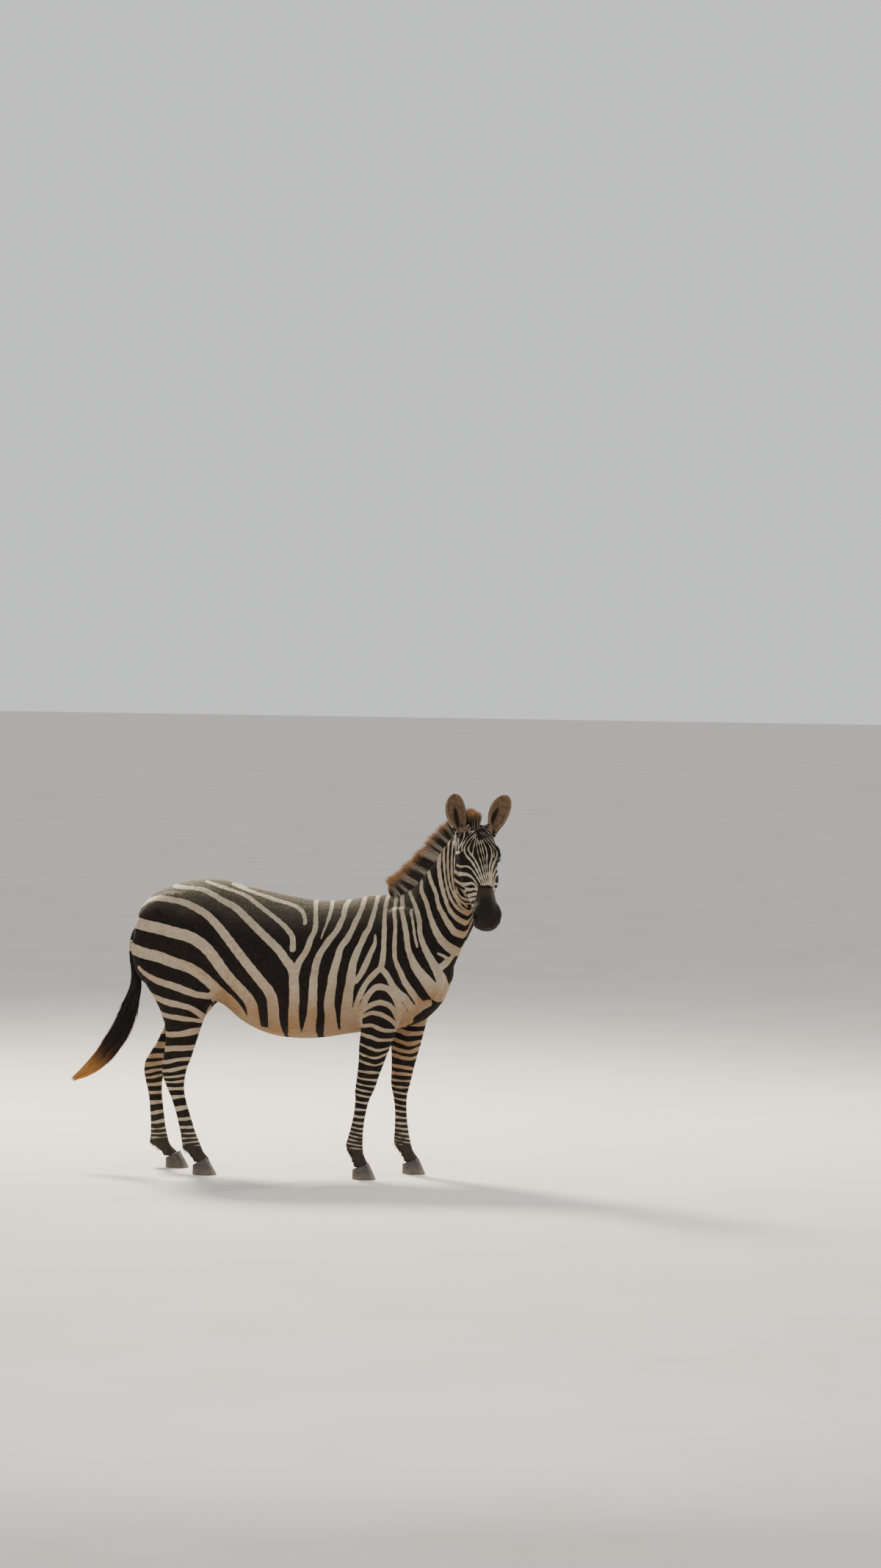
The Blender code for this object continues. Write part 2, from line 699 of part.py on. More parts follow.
# ---- the build ----------------------------------------------------------------------------
body = joined("body", [trunk(), neck(), *head_forms(), *masses(), *[limb(n, leg) for n, leg in LEGS.items()]])
remesh = body.modifiers.new("one shell", "REMESH")
remesh.mode = "VOXEL"
remesh.voxel_size = VOXEL
baked(body)
relaxed(body, 20, lambda p: np.where(is_head(p), 0.55, np.where(p[:, 2] < 0.62, 0.4, 0.0)))
print("body shell:", len(body.data.polygons), "faces")


def detail(points):
    level = np.where(is_head(points), 0.5, 1.0)
    return np.where(points[:, 2] < 0.60, 0.9, level)


thinned(body, BODY_TRIANGLES, detail)
print("body thinned:", len(body.data.polygons), "triangles")

nodes = {}

# Eyes sit in sockets a gap wider than they are.
for name, side in (("eye_right", -1), ("eye_left", 1)):
    socket = guide(eye(f"{name}_socket", side, EYE_RADIUS + GAP))
    cut(body, socket)
    bpy_objects.remove(socket, do_unlink=True)
    nodes[name] = eye(name, side, EYE_RADIUS)

# Ears, mane, forelock and tail meet the body with a gap all round.
clear = guide(grown(body, "body_guide", GAP))
hair = mane()
for name, obj in (("ear_right", ear("ear_right", -1)), ("ear_left", ear("ear_left", 1)),
                  ("mane", hair), ("forelock", forelock()), ("tail", tail())):
    cut(obj, clear)
    if name == "forelock":
        behind = guide(grown(nodes["mane"], "mane_guide", GAP))
        cut(obj, behind)
        bpy_objects.remove(behind, do_unlink=True)
    shells = loose_parts(obj)
    shells.sort(key=lambda part: len(part.data.vertices))
    nodes[name] = shells.pop()
    for scrap in shells:
        bpy_objects.remove(scrap, do_unlink=True)
bpy_objects.remove(clear, do_unlink=True)

# Thin cuts: middle, direction, reach along and across.
nape = in_head(0.100, 0.262, 0.0)
nape_normal = UNDER * 0.905 - LEFT * 0.426
cuts = [
    (nape, nape_normal, (0.47, 0.47)),
    ((0.640, 0.0, 1.150), (0.768, 0.0, 0.640), (0.60, 0.56)),
    (in_head(0.365, 0.075, 0.0), FACE, (0.24, 0.24)),
    ((0.262, 0.0, 0.98), (1, 0, 0), (0.9, 0.9)),
    ((-0.275, 0.0, 0.98), (1, 0, 0), (0.9, 0.9)),
]
for name, leg in LEGS.items():
    side = 1 if name.endswith("left") else -1
    upper, lower = (0.640, 0.362) if name.startswith("fore") else (0.742, 0.402)
    for height in (upper, lower):
        place = np.interp(-height, [-j[2] for j in leg["joints"]], [j[0] for j in leg["joints"]])
        cuts.append(((place, side * 0.140, height), (0, 0, 1), (0.40, 0.26)))
    front, back = coronet(name)
    slope = unit(np.cross(front - back, (0, 1, 0)))
    slope = slope if slope[2] > 0 else -slope
    cuts.append(((front + back) / 2 + slope * GAP, slope, (0.17, 0.17)))
for middle, normal, reach in cuts:
    knife = guide(slab(middle, normal, reach))
    cut(body, knife)
    bpy_objects.remove(knife, do_unlink=True)

# Each piece is known by the name of the spot nearest its middle.
spots = {
    "head": in_head(0.15, 0.10, 0.0),
    "muzzle": in_head(0.46, 0.08, 0.0),
    "neck": (0.74, -0.03, 1.32),
    "forequarters": (0.50, 0.0, 0.97),
    "barrel": (-0.01, 0.0, 0.96),
    "hindquarters": (-0.50, 0.0, 1.05),
}
for name, leg in LEGS.items():
    end, side = name.split("_")
    knee, fetlock, foot = leg["joints"][2], leg["joints"][3], leg["joints"][5]
    upper = leg["joints"][1]
    share = 0.45
    spots[("forearm_" if end == "fore" else "gaskin_") + side] = np.array(upper) * share + np.array(knee) * (1 - share)
    spots[f"cannon_{name}"] = (np.array(knee) + np.array(fetlock)) / 2 - np.array((0, 0, 0.06))
    spots[f"stub_{name}"] = foot
for piece in loose_parts(body):
    middle = middle_of(piece)
    name = min(spots, key=lambda spot: np.linalg.norm(np.array(spots[spot]) - middle))
    if name.startswith("stub") or name in nodes:
        print("left out:", name, len(piece.data.polygons))
        bpy_objects.remove(piece, do_unlink=True)
        continue
    nodes[name] = piece

tail_knife = guide(slab((-0.737, 0.006, 0.850), (0.10, 0.0, 1.0), (0.16, 0.16)))
cut(nodes["tail"], tail_knife)
bpy_objects.remove(tail_knife, do_unlink=True)
lower, upper = sorted(loose_parts(nodes.pop("tail")), key=lambda part: middle_of(part)[2])
nodes["tail_tuft"] = lower
nodes["tail_dock"] = upper

for name in LEGS:
    nodes[f"hoof_{name}"] = hoof(name)


# ---- names, looks and place ---------------------------------------------------------------
FINISHES = {
    "hide": ((0.42, 0.36, 0.30), 0.65),
    "dark hide": ((0.030, 0.024, 0.021), 0.55),
    "hair": ((0.090, 0.060, 0.040), 0.70),
    "horn": ((0.050, 0.045, 0.042), 0.45),
    "eye": ((0.012, 0.008, 0.006), 0.08),
}


def finish_of(name):
    if name.startswith("eye"):
        return "eye"
    if name.startswith("hoof"):
        return "horn"
    if name in ("mane", "forelock", "tail_tuft"):
        return "hair"
    return "dark hide" if name == "muzzle" else "hide"


total = 0
for name, obj in sorted(nodes.items()):
    finish = finish_of(name)
    colour, rough = FINISHES[finish]
    material = bpy.data.materials.new(f"{finish} of {name.replace('_', ' ')}")
    material.use_nodes = True
    shader = material.node_tree.nodes["Principled BSDF"]
    shader.inputs["Base Color"].default_value = (*colour, 1.0)
    shader.inputs["Roughness"].default_value = rough
    obj.name = name
    obj.data.name = name
    obj.data.materials.clear()
    obj.data.materials.append(material)
    obj.data.transform(Matrix.Translation((-CENTRE_X, -CENTRE_Y, 0.0)))
    bm = bmesh.new()
    bm.from_mesh(obj.data)
    bmesh.ops.triangulate(bm, faces=bm.faces)
    bmesh.ops.recalc_face_normals(bm, faces=bm.faces)
    if bm.calc_volume(signed=True) < 0:
        bmesh.ops.reverse_faces(bm, faces=bm.faces)
    bm.to_mesh(obj.data)
    bm.free()
    obj.data.shade_smooth()
    total += len(obj.data.polygons)
    print(name, len(obj.data.polygons))
print("nodes:", len(nodes), "triangles:", total)
corners = np.array([tuple(v.co) for obj in nodes.values() for v in obj.data.vertices])
print("low corner", corners.min(axis=0).round(4), "high corner", corners.max(axis=0).round(4))
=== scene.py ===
# Plains zebra standing with its head turned to its right: skin, coat, mane, tail, eyes and hooves.
import json
import math

import bmesh
import bpy
import numpy as np
from mathutils import Matrix, Vector

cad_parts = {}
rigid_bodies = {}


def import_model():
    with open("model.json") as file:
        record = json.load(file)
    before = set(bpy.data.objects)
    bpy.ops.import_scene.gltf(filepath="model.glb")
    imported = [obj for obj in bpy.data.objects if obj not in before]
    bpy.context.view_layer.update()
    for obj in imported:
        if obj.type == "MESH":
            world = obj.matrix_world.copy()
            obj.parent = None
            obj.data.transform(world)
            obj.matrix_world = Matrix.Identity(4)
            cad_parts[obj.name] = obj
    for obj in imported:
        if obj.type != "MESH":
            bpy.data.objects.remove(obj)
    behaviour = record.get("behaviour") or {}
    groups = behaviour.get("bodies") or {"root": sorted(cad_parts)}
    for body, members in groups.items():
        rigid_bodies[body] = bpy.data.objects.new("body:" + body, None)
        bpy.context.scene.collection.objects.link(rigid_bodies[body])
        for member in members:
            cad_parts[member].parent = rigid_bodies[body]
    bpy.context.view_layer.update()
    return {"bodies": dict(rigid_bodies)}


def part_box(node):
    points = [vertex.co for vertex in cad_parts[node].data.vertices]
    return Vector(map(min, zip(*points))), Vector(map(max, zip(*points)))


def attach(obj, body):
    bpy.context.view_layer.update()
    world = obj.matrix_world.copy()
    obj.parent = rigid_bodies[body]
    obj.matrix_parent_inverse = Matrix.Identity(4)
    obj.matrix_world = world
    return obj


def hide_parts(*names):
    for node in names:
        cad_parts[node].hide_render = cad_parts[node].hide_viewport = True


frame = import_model()
rng = np.random.default_rng(11)
root = next(iter(frame["bodies"]))


# the head's own directions
head = {
    "poll": (0.868, -0.173, 1.640),  # top of the head, before the shift into the frame
    "turn": 22.0,  # degrees to the animal's right
    "tuck": 56.0,  # degrees that the face points below level
    "stretch": 0.94,
}
eyeSet = {"u": 0.160, "d": 0.050, "w": 0.079, "radius": 0.0205}
turn = math.radians(head["turn"])
tuck = math.radians(head["tuck"])
upward = np.array((0.0, 0.0, 1.0))
forward = np.array((math.sin(turn), -math.cos(turn), 0.0))
faceLine = forward * math.cos(tuck) - upward * math.sin(tuck)
underLine = -forward * math.sin(tuck) - upward * math.cos(tuck)
leftLine = np.cross(upward, forward)
poll = np.array(head["poll"])


def unit(vector):
    vector = np.asarray(vector, float)
    return vector / np.linalg.norm(vector)


def units(vectors):
    return vectors / np.maximum(np.linalg.norm(vectors, axis=1, keepdims=True), 1e-9)


def inHead(u, d, w):
    return poll + faceLine * u * head["stretch"] + underLine * d + leftLine * w


def headPlace(points):
    local = points - poll
    return local @ faceLine / head["stretch"], local @ underLine, local @ leftLine


def middleOf(node):
    low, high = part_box(node)
    return (np.array(low) + np.array(high)) / 2


# The shapes below are worked out round the shoulder line; this moves them into the frame.
shift = (middleOf("eye_right") + middleOf("eye_left")) / 2 - inHead(eyeSet["u"], eyeSet["d"], 0.0)


# small tools
def smooth(value, low, high):
    t = np.clip((value - low) / (high - low), 0, 1)
    return t * t * (3 - 2 * t)


def hump(value, middle, reach):
    return np.exp(-((value - middle) / reach) ** 2)


def spline(stations, values, where):
    stations = np.asarray(stations, float)
    values = np.asarray(values, float)
    steps = np.diff(stations)
    slopes = np.diff(values, axis=0) / steps[:, None]
    tangents = np.empty_like(values)
    tangents[0] = slopes[0]
    tangents[-1] = slopes[-1]
    before = steps[:-1, None]
    after = steps[1:, None]
    tangents[1:-1] = (slopes[:-1] * after + slopes[1:] * before) / (before + after)
    where = np.asarray(where, float)
    index = np.clip(np.searchsorted(stations, where) - 1, 0, len(steps) - 1)
    span = steps[index][:, None]
    f = ((where - stations[index]) / steps[index])[:, None]
    return (
        (2 * f**3 - 3 * f**2 + 1) * values[index]
        + (f**3 - 2 * f**2 + f) * span * tangents[index]
        + (3 * f**2 - 2 * f**3) * values[index + 1]
        + (f**3 - f**2) * span * tangents[index + 1]
    )


def sideOf(name):
    return -1 if name.lower().endswith("right") else 1


def newObject(name, mesh):
    piece = bpy.data.objects.new(name, mesh)
    bpy.context.scene.collection.objects.link(piece)
    return piece


def newPiece(name, points, faces):
    mesh = bpy.data.meshes.new(name)
    mesh.from_pydata((np.asarray(points) + shift).tolist(), [], [list(f) for f in faces])
    bm = bmesh.new()
    bm.from_mesh(mesh)
    bmesh.ops.recalc_face_normals(bm, faces=bm.faces)
    bm.to_mesh(mesh)
    bm.free()
    return newObject(name, mesh)


def newTriangles(name, points, triangles):
    mesh = bpy.data.meshes.new(name)
    count = len(triangles)
    mesh.vertices.add(len(points))
    mesh.vertices.foreach_set("co", (points + shift).astype(np.float32).ravel())
    mesh.loops.add(count * 3)
    mesh.loops.foreach_set("vertex_index", triangles.astype(np.int32).ravel())
    mesh.polygons.add(count)
    mesh.polygons.foreach_set("loop_start", np.arange(0, count * 3, 3, dtype=np.int32))
    mesh.update(calc_edges=True)
    piece = newObject(name, mesh)
    smoothFaces(piece)
    return piece


def smoothFaces(piece):
    piece.data.polygons.foreach_set("use_smooth", np.ones(len(piece.data.polygons), dtype=bool))


def meshFrom(bm, name):
    mesh = bpy.data.meshes.new(name)
    bm.to_mesh(mesh)
    bm.free()
    return mesh


def pointsOf(piece):
    points = np.empty(len(piece.data.vertices) * 3)
    piece.data.vertices.foreach_get("co", points)
    return points.reshape(-1, 3) - shift


def normalsOf(piece):
    normals = np.empty(len(piece.data.vertices) * 3, dtype=np.float32)
    piece.data.vertex_normals.foreach_get("vector", normals)
    return normals.reshape(-1, 3).astype(float)


def setPoints(piece, points):
    piece.data.vertices.foreach_set("co", (points + shift).ravel())
    piece.data.update()


def tubeFaces(rings, around):
    faces = []
    for i in range(rings - 1):
        for j in range(around):
            k = (j + 1) % around
            faces.append((i * around + j, i * around + k, (i + 1) * around + k, (i + 1) * around + j))
    last = (rings - 1) * around
    faces.append(tuple(range(around))[::-1])
    faces.append(tuple(range(last, last + around)))
    return faces


def sectionRing(top, bottom, side, halfWidth, widest, square, around):
    middle = top + (bottom - top) * widest
    angle = np.linspace(0, 2 * math.pi, around, endpoint=False)
    c = np.cos(angle)
    s = np.sin(angle)
    across = np.sign(c) * np.abs(c) ** (2 / square)
    along = np.abs(s) ** (2 / square)
    upper = np.where(s > 0, along, 0)[:, None] * (top - middle)
    lower = np.where(s <= 0, along, 0)[:, None] * (bottom - middle)
    return middle + upper + lower + (across * halfWidth)[:, None] * side


def loft(name, stations, rows, rings, around=32):
    points = []
    for v in spline(stations, rows, np.linspace(stations[0], stations[-1], rings)):
        points.append(sectionRing(v[0:3], v[3:6], unit(v[6:9]), v[9], v[10], v[11], around))
    return newPiece(name, np.concatenate(points), tubeFaces(rings, around))


def ball(name, centre, radii, axes=None, segments=32, rings=20):
    bm = bmesh.new()
    bmesh.ops.create_uvsphere(bm, u_segments=segments, v_segments=rings, radius=1.0)
    turned = np.eye(3) if axes is None else np.array([unit(a) for a in axes])
    for vertex in bm.verts:
        vertex.co = Vector(np.asarray(centre) + shift + (np.array(vertex.co) * radii) @ turned)
    return newObject(name, meshFrom(bm, name))


# the body's forms, out to the tips of the coat
def trunkForm():
    # x, top, bottom, half width, widest line, squareness
    sections = [
        (-0.744, 1.110, 1.000, 0.030, 0.50, 2.0),
        (-0.722, 1.192, 0.915, 0.105, 0.50, 2.1),
        (-0.668, 1.272, 0.860, 0.172, 0.50, 2.1),
        (-0.570, 1.326, 0.820, 0.222, 0.48, 2.1),  # hips
        (-0.440, 1.358, 0.795, 0.243, 0.48, 2.1),  # croup
        (-0.325, 1.356, 0.782, 0.247, 0.52, 2.1),
        (-0.225, 1.333, 0.705, 0.256, 0.55, 2.1),
        (-0.110, 1.310, 0.652, 0.270, 0.57, 2.1),
        (0.020, 1.285, 0.632, 0.276, 0.57, 2.1),  # barrel
        (0.150, 1.271, 0.637, 0.270, 0.57, 2.1),
        (0.270, 1.281, 0.657, 0.250, 0.56, 2.1),
        (0.380, 1.300, 0.672, 0.222, 0.55, 2.1),  # withers
        (0.480, 1.298, 0.684, 0.200, 0.55, 2.1),
        (0.580, 1.240, 0.709, 0.180, 0.53, 2.1),
        (0.664, 1.150, 0.762, 0.148, 0.50, 2.1),  # breast
        (0.724, 1.060, 0.850, 0.098, 0.48, 2.0),
        (0.751, 1.000, 0.925, 0.035, 0.50, 2.0),
    ]
    rows = [(x, 0, t, x, 0, b, 0, 1, 0, w, f, q) for x, t, b, w, f, q in sections]
    return loft("trunkForm", [s[0] for s in sections], rows, 72, 44)


def neckForm():
    # crest x and height, throat x and height, their sideways shift, turn of the section, half width
    sections = [
        (0.440, 1.250, 0.700, 0.860, 0.000, 0.000, 0.00, 0.150),
        (0.500, 1.302, 0.738, 0.935, 0.000, 0.000, 0.00, 0.135),
        (0.563, 1.344, 0.778, 1.030, 0.000, 0.000, 0.04, 0.118),
        (0.617, 1.407, 0.816, 1.105, -0.003, -0.004, 0.10, 0.104),
        (0.668, 1.477, 0.852, 1.180, -0.012, -0.018, 0.20, 0.094),
        (0.722, 1.552, 0.872, 1.265, -0.035, -0.050, 0.36, 0.087),
        (0.785, 1.616, 0.884, 1.350, -0.075, -0.092, 0.55, 0.082),
        (0.842, 1.640, 0.894, 1.430, -0.130, -0.118, 0.72, 0.078),
        (0.868, 1.618, 0.900, 1.480, -0.165, -0.150, 0.80, 0.066),
    ]
    rows = []
    for cx, cz, tx, tz, crestY, throatY, bend, width in sections:
        side = unit((1 - bend) * np.array((0, 1, 0)) + bend * leftLine)
        rows.append((cx, crestY, cz, tx, throatY, tz, *side, width, 0.56, 2.0))
    return loft("neckForm", list(range(len(rows))), rows, 44, 36)


def headForms():
    # along the face, top, under, half width, widest line, squareness
    skull = [
        (-0.040, 0.050, 0.135, 0.037, 0.50, 2.0),
        (-0.015, 0.014, 0.150, 0.068, 0.50, 2.1),
        (0.040, -0.006, 0.165, 0.085, 0.46, 2.3),
        (0.100, -0.011, 0.180, 0.094, 0.40, 2.4),  # forehead
        (0.160, -0.008, 0.182, 0.093, 0.40, 2.4),
        (0.225, -0.001, 0.176, 0.083, 0.44, 2.4),
        (0.300, 0.005, 0.162, 0.067, 0.48, 2.4),
        (0.370, 0.010, 0.146, 0.055, 0.50, 2.3),
        (0.430, 0.013, 0.138, 0.057, 0.50, 2.3),
        (0.480, 0.018, 0.134, 0.060, 0.50, 2.3),  # nostrils
        (0.515, 0.034, 0.122, 0.053, 0.50, 2.2),
        (0.536, 0.060, 0.102, 0.029, 0.50, 2.0),
    ]
    jaw = [
        (0.020, 0.060, 0.175, 0.044, 0.50, 2.1),
        (0.060, 0.055, 0.222, 0.062, 0.50, 2.3),
        (0.120, 0.050, 0.242, 0.067, 0.50, 2.4),
        (0.190, 0.050, 0.232, 0.065, 0.50, 2.4),
        (0.260, 0.055, 0.203, 0.058, 0.50, 2.3),
        (0.340, 0.060, 0.172, 0.048, 0.50, 2.2),
        (0.410, 0.065, 0.150, 0.041, 0.50, 2.1),
        (0.460, 0.070, 0.147, 0.040, 0.50, 2.1),
        (0.497, 0.080, 0.138, 0.033, 0.50, 2.0),
        (0.512, 0.095, 0.122, 0.017, 0.50, 2.0),
    ]
    forms = []
    for name, sections in (("skullForm", skull), ("jawForm", jaw)):
        rows = []
        for u, top, under, width, widest, square in sections:
            rows.append((*inHead(u, top, 0), *inHead(u, under, 0), *leftLine, width, widest, square))
        forms.append(loft(name, [s[0] for s in sections], rows, 52, 40))
    axes = (faceLine, underLine, leftLine)
    # on both sides: place in the head's measures, reach
    lumps = {
        "brow": ((0.140, 0.026, 0.080), (0.044, 0.022, 0.0205)),
        "cheek": ((0.145, 0.130, 0.055), (0.105, 0.086, 0.036)),
        "cheekBone": ((0.225, 0.075, 0.067), (0.085, 0.026, 0.022)),
        "nostrilForm": ((0.455, 0.061, 0.041), (0.050, 0.036, 0.026)),
        "earRoot": ((0.006, 0.042, 0.062), (0.032, 0.034, 0.026)),
    }
    for side in (-1, 1):
        for name, ((u, d, w), radii) in lumps.items():
            forms.append(ball(name, inHead(u, d, side * w), radii, axes))
    forms.append(ball("chinForm", inHead(0.466, 0.128, 0), (0.034, 0.025, 0.033), axes))
    forms.append(ball("upperLip", inHead(0.505, 0.084, 0), (0.030, 0.041, 0.047), axes))
    return forms


# place along the joints, half depth, half width, forward shift
foreProfile = [
    (0.00, 0.120, 0.070, 0.000), (0.55, 0.112, 0.074, 0.000),
    (1.00, 0.098, 0.068, 0.000),  # elbow
    (1.25, 0.083, 0.058, 0.000), (1.45, 0.073, 0.051, 0.000), (1.63, 0.062, 0.045, 0.002),
    (1.82, 0.052, 0.041, 0.002), (1.94, 0.048, 0.041, 0.002),
    (2.03, 0.0435, 0.040, 0.001),  # knee
    (2.16, 0.0345, 0.034, 0.000), (2.33, 0.0300, 0.027, 0.000), (2.60, 0.0300, 0.025, 0.000),
    (2.82, 0.0350, 0.027, 0.000),
    (3.00, 0.0405, 0.031, 0.000),  # fetlock
    (3.25, 0.0370, 0.029, 0.000), (3.60, 0.0320, 0.026, 0.000), (4.00, 0.0350, 0.030, 0.000),
    (4.50, 0.0370, 0.032, 0.000),
]
hindProfile = [
    (0.00, 0.185, 0.092, 0.000), (0.40, 0.198, 0.100, 0.000), (0.70, 0.166, 0.092, 0.000),
    (1.00, 0.127, 0.078, 0.000),  # stifle
    (1.18, 0.103, 0.066, 0.008), (1.36, 0.083, 0.056, 0.014), (1.56, 0.0715, 0.048, 0.013),
    (1.76, 0.066, 0.043, 0.006), (1.90, 0.060, 0.041, 0.000),
    (2.00, 0.0535, 0.039, 0.000),  # hock
    (2.13, 0.0430, 0.035, -0.002), (2.30, 0.0345, 0.029, -0.002), (2.55, 0.0335, 0.027, 0.000),
    (2.82, 0.0375, 0.030, 0.000),
    (3.00, 0.0440, 0.034, 0.000),  # fetlock
    (3.25, 0.0410, 0.032, 0.000), (3.60, 0.0370, 0.028, 0.000), (4.00, 0.0390, 0.032, 0.000),
    (4.50, 0.0400, 0.033, 0.000),
]
legs = {
    "fore_right": {
        "profile": foreProfile, "hoof": (0.309, 0.419),
        "joints": [(0.498, -0.118, 1.03), (0.447, -0.148, 0.78), (0.361, -0.138, 0.41),
                   (0.315, -0.130, 0.152), (0.346, -0.130, 0.075), (0.359, -0.130, 0.035)],
    },
    "fore_left": {
        "profile": foreProfile, "hoof": (0.507, 0.616),
        "joints": [(0.530, 0.118, 1.03), (0.536, 0.148, 0.78), (0.490, 0.138, 0.41),
                   (0.504, 0.130, 0.144), (0.545, 0.130, 0.075), (0.557, 0.130, 0.035)],
    },
    "hind_right": {
        "profile": hindProfile, "hoof": (-0.437, -0.323),
        "joints": [(-0.530, -0.120, 1.05), (-0.481, -0.150, 0.80), (-0.531, -0.128, 0.45),
                   (-0.441, -0.122, 0.127), (-0.401, -0.122, 0.078), (-0.386, -0.122, 0.038)],
    },
    "hind_left": {
        "profile": hindProfile, "hoof": (-0.608, -0.496),
        "joints": [(-0.530, 0.120, 1.05), (-0.482, 0.150, 0.80), (-0.670, 0.128, 0.46),
                   (-0.638, 0.122, 0.116), (-0.588, 0.122, 0.072), (-0.572, 0.122, 0.036)],
    },
}


def jointLine(joints, place):
    total = np.zeros(3)
    samples = np.linspace(-0.10, 0.10, 5)
    for step in samples:
        p = min(max(place + step, 0.0), len(joints) - 1.0001)
        i = int(p)
        a = np.array(joints[i])
        total += a + (np.array(joints[i + 1]) - a) * (p - i)
    return total / len(samples)


def limbForm(name, leg):
    stations = []
    rows = []
    for place, depth, width, ahead in leg["profile"]:
        middle = jointLine(leg["joints"], place) + np.array((ahead, 0, 0))
        reach = np.array((depth, 0, 0))
        stations.append(place)
        rows.append((*(middle + reach), *(middle - reach), 0, 1, 0, width, 0.50, 2.1))
    return loft(name, stations, rows, 80, 28)


# on both sides: place, reach, cosine and sine of the forward lean
muscles = {
    "shoulderBlade": ((0.480, 0.118, 1.050), (0.135, 0.072, 0.215), (0.94, -0.34)),
    "shoulderPoint": ((0.600, 0.112, 0.930), (0.125, 0.068, 0.120), (1, 0)),
    "breastMuscle": ((0.638, 0.058, 0.852), (0.066, 0.062, 0.078), (1, 0)),
    "upperArm": ((0.490, 0.130, 0.845), (0.125, 0.070, 0.110), (1, 0)),
    "haunch": ((-0.525, 0.118, 1.110), (0.195, 0.112, 0.200), (1, 0)),
    "buttock": ((-0.642, 0.095, 1.030), (0.096, 0.085, 0.160), (1, 0)),
    "flankFold": ((-0.375, 0.150, 0.880), (0.075, 0.060, 0.120), (0.92, -0.39)),
}


def muscleForms():
    forms = []
    for side in (-1, 1):
        for name, ((x, y, z), radii, (c, s)) in muscles.items():
            forms.append(ball(name, (x, side * y, z), radii, ((c, 0, s), (0, 1, 0), (-s, 0, c))))
    return forms


tailLine = [
    # x, y, z, half depth, half width
    (-0.690, 0.000, 1.150, 0.026, 0.026), (-0.722, 0.000, 1.120, 0.026, 0.026),
    (-0.744, 0.002, 1.060, 0.023, 0.023), (-0.747, 0.004, 0.990, 0.021, 0.021),
    (-0.736, 0.006, 0.920, 0.023, 0.021), (-0.735, 0.008, 0.860, 0.029, 0.024),
    (-0.753, 0.010, 0.790, 0.039, 0.030), (-0.775, 0.012, 0.720, 0.043, 0.033),
    (-0.805, 0.014, 0.650, 0.045, 0.033), (-0.844, 0.016, 0.585, 0.044, 0.031),
    (-0.892, 0.018, 0.520, 0.038, 0.027), (-0.955, 0.020, 0.460, 0.026, 0.019),
    (-1.040, 0.022, 0.405, 0.006, 0.005),
]
dock = {"end": 0.800, "half": 0.023, "wide": 0.021, "rings": 26, "around": 20}


def runLengths(line):
    return np.concatenate(([0], np.cumsum(np.linalg.norm(np.diff(line[:, :3], axis=0), axis=1))))


def tailDock():
    line = np.array(tailLine)
    runs = np.gradient(line[:, :3], axis=0)
    rows = []
    for row, run in zip(line, runs):
        across = unit(np.cross(unit(run), (0, 1, 0)))
        reach = across * min(row[3], dock["half"])
        width = min(row[4], dock["wide"])
        rows.append((*(row[:3] + reach), *(row[:3] - reach), 0, 1, 0, width, 0.5, 2.0))
    keep = [i for i in range(len(line)) if line[i, 2] > dock["end"]]
    return loft("tailDock", runLengths(line[keep]), [rows[i] for i in keep], dock["rings"], dock["around"])


earSet = {
    "height": 0.182, "width": 0.100, "wall": 0.0050, "rows": 46, "steps": 40,
    # pale bands on the back, from the tip: middle and half width as shares of the height
    "bands": ((0.985, 0.085), (0.520, 0.075), (0.275, 0.050)), "paleRim": 0.0045,
    # lean outward in degrees, depth below and distance from the middle of the poll
    "places": {-1: (12.0, 0.040, 0.068), 1: (22.0, 0.034, 0.078)},
    # height, half width, how far the rims wrap round, depth of the cup
    "shape": [
        (-0.10, 0.200, 2.90, 0.200), (0.00, 0.235, 2.60, 0.235), (0.12, 0.300, 2.15, 0.300),
        (0.28, 0.420, 1.75, 0.330), (0.48, 0.500, 1.52, 0.300), (0.66, 0.495, 1.45, 0.230),
        (0.80, 0.430, 1.42, 0.170), (0.91, 0.310, 1.40, 0.110), (0.975, 0.165, 1.40, 0.060),
        (1.00, 0.045, 1.40, 0.020),
    ],
}


def earAxes(side):
    lean, below, apart = earSet["places"][side]
    lean = math.radians(lean)
    base = inHead(0.018, below, side * apart)
    axis = unit(upward * math.cos(lean) + leftLine * side * math.sin(lean) + forward * 0.05)
    opening = unit(forward + leftLine * side * (-0.10 if side < 0 else 0.06))
    opening = unit(opening - axis * (opening @ axis))
    return base, axis, opening, np.cross(axis, opening)


def earSheet(side, rows, steps):
    base, axis, opening, across = earAxes(side)
    shape = earSet["shape"]
    heights = np.linspace(-0.10, 1.0, rows)
    sections = spline([s[0] for s in shape], [s[1:] for s in shape], heights)
    sheet = np.zeros((rows, steps, 2, 3))
    for i, (h, (half, wrap, cup)) in enumerate(zip(heights, sections)):
        middle = base + axis * (h * earSet["height"]) - opening * 0.012 * math.sin(h * math.pi)
        for j, t in enumerate(np.linspace(-1, 1, steps)):
            out = (-opening * math.cos(wrap * t) * cup + across * math.sin(wrap * t) * half) * earSet["width"]
            size = np.linalg.norm(out)
            wall = min(earSet["wall"], size * 0.45) * (1 - 0.35 * abs(t) ** 3)
            sheet[i, j, 0] = middle + out
            sheet[i, j, 1] = middle + out * (1 - wall / size)
    return sheet


